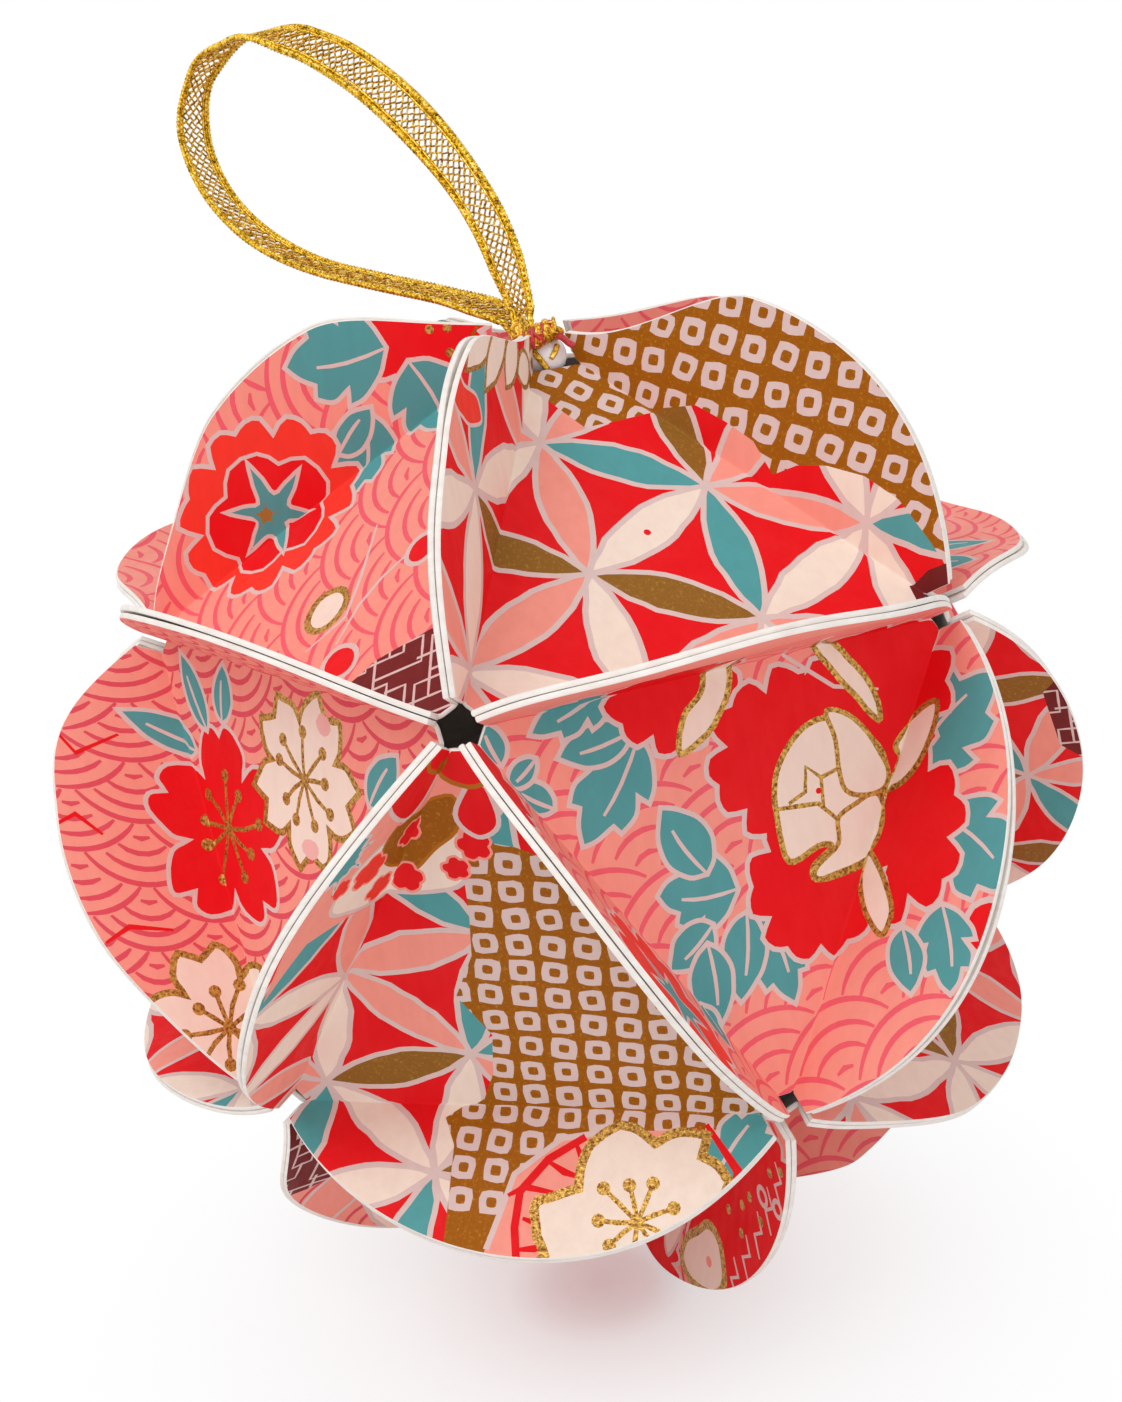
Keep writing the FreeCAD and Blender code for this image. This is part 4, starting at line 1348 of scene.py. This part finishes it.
# The ribbon, the knot, the bead and the loose thread ends
def gold_thread(name, bright, dark, scale, rough=0.3, metal=0.85):
    """Metal foil thread with painted glints and shade: noise spreads its colour from a dark shade through the gold to a
    pale yellow highlight, each glint its own tint.
    """
    n = Nodes(name)
    glint = n.noise(scale, 3, 0.75)
    # painted shade at the ramp's dark end, painted highlight at its pale yellow top
    colour = n.ramp(glint, (0.36, dark), (0.5, bright), (0.66, linear(255, 226, 120)))
    n.link(colour, n.shader.inputs["Base Color"])
    n.link(n.span(glint, 0.35, 0.65, rough + 0.25, rough), n.shader.inputs["Roughness"])
    n.set(Metallic=metal)
    n.bump(glint, 0.7, 0.00015)
    return n.material


def silk(name, ink, dark):
    n = Nodes(name)
    strand = n.noise(2600, 2, 0.6)
    n.link(n.mix(n.span(strand, 0.35, 0.65, 0.0, 1.0), dark, ink), n.shader.inputs["Base Color"])
    n.set(Roughness=0.42, Sheen_Weight=0.3, Specular_IOR_Level=0.6)
    n.bump(strand, 0.5, 0.0001)
    return n.material


def pearl():
    n = Nodes("white_bead")
    cloud = n.noise(420, 2, 0.5)
    n.link(n.mix(n.span(cloud, 0.35, 0.65, 0.0, 1.0), linear(255, 253, 255), linear(248, 243, 247)), n.shader.inputs["Base Color"])
    n.set(Roughness=0.16, Coat_Weight=0.6, Coat_Roughness=0.08)
    return n.material


def new_piece(name, mesh, materials, smooth=True):
    for material in materials:
        mesh.materials.append(material)
    if smooth:
        mesh.shade_smooth()
    piece = bpy.data.objects.new(name, mesh)
    bpy.context.collection.objects.link(piece)
    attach(piece, "root")
    return piece


class Tubes:
    """Threads as thin tubes along lines, gathered in one mesh."""

    def __init__(self):
        self.verts, self.faces, self.marks = [], [], []

    def add(self, line, radius, sides=6, mark=0, flat=1.0, up=None, taper=0.0):
        """A tube along a line in mm. flat squeezes it towards a ribbon of foil."""
        count = len(line)
        first = len(self.verts)
        side = None
        for k, p in enumerate(line):
            t = (line[min(count - 1, k + 1)] - line[max(0, k - 1)]).normalized()
            if side is None:
                side = t.cross(up or Vector((0.3, -0.9, 0.2))).normalized()
            side = (side - t * side.dot(t)).normalized()
            over = t.cross(side)
            r = radius[k] if isinstance(radius, list) else radius
            if taper and (k < 2 or k > count - 3):
                r *= 1 - taper * (1 if k in (0, count - 1) else 0.4)
            for m in range(sides):
                a = 2 * math.pi * m / sides
                self.verts.append(p + side * (r * math.cos(a)) + over * (r * flat * math.sin(a)))
        for k in range(count - 1):
            for m in range(sides):
                a, b = first + k * sides + m, first + k * sides + (m + 1) % sides
                self.faces.append((a, b, b + sides, a + sides))
                self.marks.append(mark)
        for k, turned in ((0, True), (count - 1, False)):
            ring = [first + k * sides + m for m in range(sides)]
            self.faces.append(tuple(ring[::-1] if turned else ring))
            self.marks.append(mark)

    def mesh(self, name):
        mesh = bpy.data.meshes.new(name)
        mesh.from_pydata([v / 1000 for v in self.verts], [], self.faces)
        mesh.polygons.foreach_set("material_index", self.marks)
        return mesh


TO_CAMERA = -CAM_FORWARD.normalized()
CAM_UP = CAM_RIGHT.cross(CAM_FORWARD).normalized()


def ribbon_frames(points):
    """For each point of the ribbon's line, its direction, its width's direction and its face."""
    out = []
    count = len(points)
    for k, p in enumerate(points):
        t = (points[min(count - 1, k + 1)] - points[max(0, k - 1)]).normalized()
        near = (TO_CAMERA - t * TO_CAMERA.dot(t)).normalized()
        aside = t.cross(near)
        turn = math.radians(steps(RIBBON_TURN, k / (count - 1)))
        wide = aside * math.cos(turn) + near * math.sin(turn)
        out.append((p, t, wide, wide.cross(t)))
    return out


def make_ribbon():
    line = route_points()
    path, total = spaced(line, 0.00014)
    # both ends run on into the windings
    first, last = path[0] * 1000, path[-1] * 1000
    tail_a = smooth_line([first + CAM_RIGHT * 0.45 - CAM_UP * 2.1 + TO_CAMERA * 0.5, first + CAM_RIGHT * 0.1 - CAM_UP * 0.9, first], 8)
    tail_b = smooth_line([last, last + CAM_RIGHT * 0.6 - CAM_UP * 0.9, last + CAM_RIGHT * 0.9 - CAM_UP * 2.1 + TO_CAMERA * 0.4], 8)
    frames = ribbon_frames(tail_a[:-1] + [p * 1000 for p in path] + tail_b[1:])
    count = len(frames)
    tubes = Tubes()
    rng = random.Random(5)

    def pinch(k):
        """The ribbon is gathered where the knot holds it."""
        share = min(k, count - 1 - k) / (count - 1)
        return 0.46 + 0.54 * min(1.0, share / 0.06) ** 0.8

    def strand(where, over, radius, mark, flat=1.0):
        tubes.add(
            [f[0] + f[2] * where(k) * pinch(k) + f[3] * over(k) for k, f in enumerate(frames)],
            radius, 5, mark, flat, frames[0][3],
        )

    # the corded edges: strands braided on each side, and a bright cord within them
    for edge in (-1, 1):
        for m in range(3):
            phase = 2 * math.pi * m / 3 + edge
            strand(
                lambda k, edge=edge, phase=phase: edge * (1.66 + 0.2 * math.sin(k * 0.7 + phase)),
                lambda k, phase=phase: 0.15 * math.cos(2 * (k * 0.7 + phase)),
                0.165,
                0,
            )
        strand(lambda k, edge=edge: edge * (1.24 + 0.02 * math.sin(k * 0.11)), lambda k: 0.03 * math.sin(k * 1.3), 0.125, 2)
    # the lace between them, in loops that wander
    rows = 6
    for m in range(rows):
        at = (m - (rows - 1) / 2) * 0.4
        sign = 1 if m % 2 else -1
        shift, wander = rng.uniform(0, 6), rng.uniform(0.019, 0.05)
        strand(
            lambda k, at=at, sign=sign, shift=shift, wander=wander: at
            + sign * (0.2 + 0.03 * math.sin(k * 0.13 + shift)) * math.sin(k * 1.02 + 0.5 * math.sin(k * wander + shift)),
            lambda k, m=m, shift=shift: 0.07 * math.sin(k * 0.51 + m * 2 + shift),
            rng.uniform(0.125, 0.145),
            1,
            0.6,
        )
    mesh = tubes.mesh("ribbon_woven")
    piece = new_piece(
        "ribbon_woven",
        mesh,
        [
            gold_thread("gold_edge", linear(236, 184, 20), linear(96, 66, 6), 2300, 0.28, 0.8),
            gold_thread("gold_lace", linear(206, 154, 26), linear(92, 64, 12), 3200, 0.36, 0.7),
            gold_thread("gold_cord", linear(242, 196, 24), linear(170, 126, 16), 2300, 0.26, 0.8),
        ],
    )
    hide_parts("ribbon_loop")
    return piece


def bead_piece():
    """A pressed bead with a bored hole and rounded lips."""
    azimuth, rise = math.radians(-126), math.radians(40)
    along = Vector((math.cos(rise) * math.cos(azimuth), math.cos(rise) * math.sin(azimuth), math.sin(rise)))
    turn = along.to_track_quat("Z", "Y").to_matrix()
    lip = math.asin((BORE_R + 0.12) / BEAD_R)
    profile = [
        (BEAD_R * math.sin(a), BEAD_R * math.cos(a)) for a in (lip + (math.pi - 2 * lip) * k / 20 for k in range(21))
    ]
    reach = profile[0][1]
    ends = [(BORE_R, reach - 0.6), (BORE_R, reach - 0.06), (BORE_R + 0.05, reach + 0.01)]
    profile = ends + profile + [(r, -z) for r, z in reversed(ends)]
    sides = 48
    verts, faces = [], []
    for r, z in profile:
        for m in range(sides):
            a = 2 * math.pi * m / sides
            verts.append((turn @ Vector((r * math.cos(a), r * math.sin(a), z)) + BEAD_AT) / 1000)
    rows = len(profile)
    for k in range(rows):
        for m in range(sides):
            n = (m + 1) % sides
            faces.append((k * sides + m, k * sides + n, ((k + 1) % rows) * sides + n, ((k + 1) % rows) * sides + m))
    mesh = bpy.data.meshes.new("pearl_bead")
    mesh.from_pydata(verts, [], [f[::-1] for f in faces])
    piece = new_piece("pearl_bead", mesh, [pearl()])
    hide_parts("bead")


def smooth_line(points, per=6):
    """A smooth line through a few 3-D points."""
    out = []
    count = len(points)
    for k in range(count - 1):
        p1, p2 = points[k], points[k + 1]
        p0 = points[k - 1] if k else p1
        p3 = points[k + 2] if k + 2 < count else p2
        for i in range(per):
            t = i / per
            out.append(
                p1 * (2 * t**3 - 3 * t**2 + 1) + (p2 - p0) / 2 * (t**3 - 2 * t**2 + t)
                + p2 * (-2 * t**3 + 3 * t**2) + (p3 - p1) / 2 * (t**3 - t**2)
            )
    out.append(points[-1])
    return out


def knot_piece():
    """Red and gold thread wound over the gathered ribbon ends, with its cut ends."""
    tubes = Tubes()
    rng = random.Random(11)
    axis = (KNOT_ALONG + CAM_UP * (0.3 if KNOT_ALONG.dot(CAM_RIGHT) > 0 else -0.3)).normalized()
    up = (Vector((0, 0, 1)) - axis * axis.z).normalized()
    side = axis.cross(up)
    middle = KNOT_AT + TO_CAMERA * 0.95 - CAM_UP * 1.2

    def winding(start, end, turns, radius, thick, mark, phase, tilt=0.0, flat=1.0):
        count = int(turns * 20)
        line = []
        for k in range(count + 1):
            t = k / count
            a = 2 * math.pi * turns * t + phase
            r = radius * (1 - 0.22 * abs(2 * t - 1) ** 3) + 0.05 * math.sin(a * 2.3 + phase * 5)
            place = start + (end - start) * t + tilt * math.sin(a)
            line.append(middle + axis * place + side * (r * math.cos(a)) + up * (r * math.sin(a)))
        tubes.add(line, thick, 6, mark, flat, axis, taper=0.5)

    # the bound ribbon ends inside, red turns over them, gold over the far half
    tubes.add(smooth_line([middle + axis * v for v in (-2.0, -1.0, 0, 1.0, 1.9)]), 0.55, 10, 1, taper=0.4)
    for m in range(3):
        winding(-1.85 + rng.uniform(-0.1, 0.1), 1.7, 4.3, 0.63, 0.27, 0, m * 2.1, 0.16)
    winding(-1.5, 1.4, 3.3, 0.76, 0.25, 0, 1.0, -0.42)
    winding(-1.2, 1.6, 2.6, 0.82, 0.2, 0, 3.2, 0.5)
    for m in range(3):
        winding(-0.9 + m * 0.5, 1.85, 3.4 - m * 0.7, 0.8, 0.17, 1, m * 2.2 + 0.6, 0.4 - 0.2 * m)
    winding(0.1, 1.8, 2.7, 0.88, 0.19, 1, 0.2, -0.35)
    winding(-1.7, -0.6, 1.2, 0.82, 0.13, 1, 2.2, 0.3)
    for _ in range(46):
        a, place = rng.uniform(0, 6.28), rng.triangular(-1.6, 1.9, 0.9)
        b = a + rng.uniform(0.35, 0.8)
        spots = [
            middle + axis * (place + rng.uniform(-0.3, 0.3) * k) + side * (r * math.cos(t)) + up * (r * math.sin(t))
            for k, (t, r) in enumerate(((a, 0.8), ((a + b) / 2, 1.02), (b, 0.8)))
        ]
        tubes.add(smooth_line(spots, 4), 0.09, 5, 1, 0.5, TO_CAMERA, 0.5)

    def near(u, v, lift=0.0):
        """The point over the knot or bead that the camera sees at a place in the photograph."""
        ray = (CAM_FORWARD.normalized() * 1919.5 + CAM_RIGHT.normalized() * (u - 561) + CAM_UP * (701 - v)).normalized()
        best = None
        for centre, radius in ((BEAD_AT, BEAD_R + 0.14 + lift), (middle, 0.95 + lift)):
            to = centre - CAM_AT
            along = to.dot(ray)
            miss = math.sqrt(max(0.0, to.length_squared - along * along))
            if miss < radius:
                depth = along - math.sqrt(radius * radius - miss * miss)
                best = depth if best is None else min(best, depth)
        if best is None:
            best = (middle - CAM_AT).dot(ray) - 0.4
        return CAM_AT + ray * best

    # loose ends over the bead, a curl at the far end, a small eye by the ribbon
    for spots, width, mark in (
        ([(530, 348), (536, 355), (542, 362), (548, 370)], 0.27, 1),
        ([(557, 344), (556, 350), (551, 359)], 0.24, 1),
        ([(522, 350), (525, 356), (528, 365), (529, 372)], 0.3, 1),
        ([(527, 373), (526, 380), (523, 389)], 0.27, 1),
        ([(516, 338), (512, 332), (514, 325), (519, 324), (521, 332), (520, 340)], 0.2, 1),
        ([(550, 334), (557, 329), (562, 332), (559, 338), (552, 338)], 0.24, 1),
        ([(556, 334), (563, 338), (569, 343), (575, 346)], 0.3, 0),
        ([(523, 340), (516, 342), (511, 346), (513, 352)], 0.36, 0),
        ([(513, 345), (518, 352), (523, 357)], 0.26, 0),
    ):
        tubes.add(smooth_line([near(u, v, 0.08) for u, v in spots]), width, 6, mark, 0.5, TO_CAMERA, 0.3)
    mesh = tubes.mesh("wound_knot")
    piece = new_piece(
        "wound_knot",
        mesh,
        [silk("red_silk", linear(226, 28, 32), linear(160, 12, 20)), gold_thread("gold_wrap", linear(228, 170, 24), linear(120, 84, 10), 3000, 0.3, 0.7)],
    )
    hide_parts("thread_knot")


make_ribbon()
bead_piece()
knot_piece()


# Floor, world and lamps
def make_stage():
    """A white floor that keeps the soft shadow, a white world and two soft lamps."""
    n = Nodes("floor_white")
    n.set(Roughness=0.8, Specular_IOR_Level=0.1)
    n.shader.inputs["Base Color"].default_value = (0.9, 0.9, 0.9, 1)
    glow = n.add("ShaderNodeEmission")
    glow.inputs["Color"].default_value = (1, 1, 1, 1)
    seen = n.add("ShaderNodeLightPath")
    either = n.add("ShaderNodeMath", operation="MAXIMUM")
    n.link(seen.outputs["Is Camera Ray"], either.inputs[0])
    n.link(seen.outputs["Is Glossy Ray"], either.inputs[1])
    far = n.add("ShaderNodeVectorMath", operation="DISTANCE")
    n.link(n.place(), far.inputs[0])
    far.inputs[1].default_value = (0.0014, -0.0187, 0)
    reach = n.span(far.outputs["Value"], 0.0, 0.08, 0.0, 1.0)
    fade = n.ramp(reach, (0.0, 0.28), (0.06, 0.36), (0.11, 0.56), (0.25, 0.74), (0.48, 0.93), (0.65, 1.0))
    share = n.add("ShaderNodeMath", operation="MULTIPLY")
    n.link(fade, share.inputs[0])
    n.link(either.outputs[0], share.inputs[1])
    mix = n.add("ShaderNodeMixShader")
    n.link(share.outputs[0], mix.inputs[0])
    n.link(n.shader.outputs[0], mix.inputs[1])
    n.link(glow.outputs[0], mix.inputs[2])
    n.link(mix.outputs[0], n.tree.nodes["Material Output"].inputs["Surface"])
    mesh = bpy.data.meshes.new("floor")
    mesh.from_pydata([(-3, -3, 0), (3, -3, 0), (3, 3, 0), (-3, 3, 0)], [], [(0, 1, 2, 3)])
    mesh.materials.append(n.material)
    floor = bpy.data.objects.new("floor", mesh)
    bpy.context.collection.objects.link(floor)
    world = bpy.data.worlds.new("studio")
    world.use_nodes = True
    tree = world.node_tree
    background = tree.nodes["Background"]
    path = tree.nodes.new("ShaderNodeLightPath")
    either = tree.nodes.new("ShaderNodeMath")
    either.operation = "MAXIMUM"
    tree.links.new(path.outputs["Is Camera Ray"], either.inputs[0])
    tree.links.new(path.outputs["Is Glossy Ray"], either.inputs[1])
    strength = tree.nodes.new("ShaderNodeMapRange")
    strength.inputs["To Min"].default_value = 0.62
    strength.inputs["To Max"].default_value = 1.0
    tree.links.new(either.outputs[0], strength.inputs["Value"])
    tree.links.new(strength.outputs["Result"], background.inputs["Strength"])
    background.inputs["Color"].default_value = (1, 1, 1, 1)
    bpy.context.scene.world = world
    for name, place, size, power in (
        ("key", (-0.3, -0.45, 0.8), 0.55, 3.0),
        ("fill", (0.6, -0.5, 0.35), 0.7, 0.9),
    ):
        lamp = bpy.data.lights.new(name, "AREA")
        lamp.size = size
        lamp.energy = power
        light = bpy.data.objects.new(name, lamp)
        light.location = place
        light.rotation_euler = (Vector((0, 0, 0.045)) - Vector(place)).to_track_quat("-Z", "Y").to_euler()
        bpy.context.collection.objects.link(light)


make_stage()
bpy.context.scene.view_settings.view_transform = "Standard"
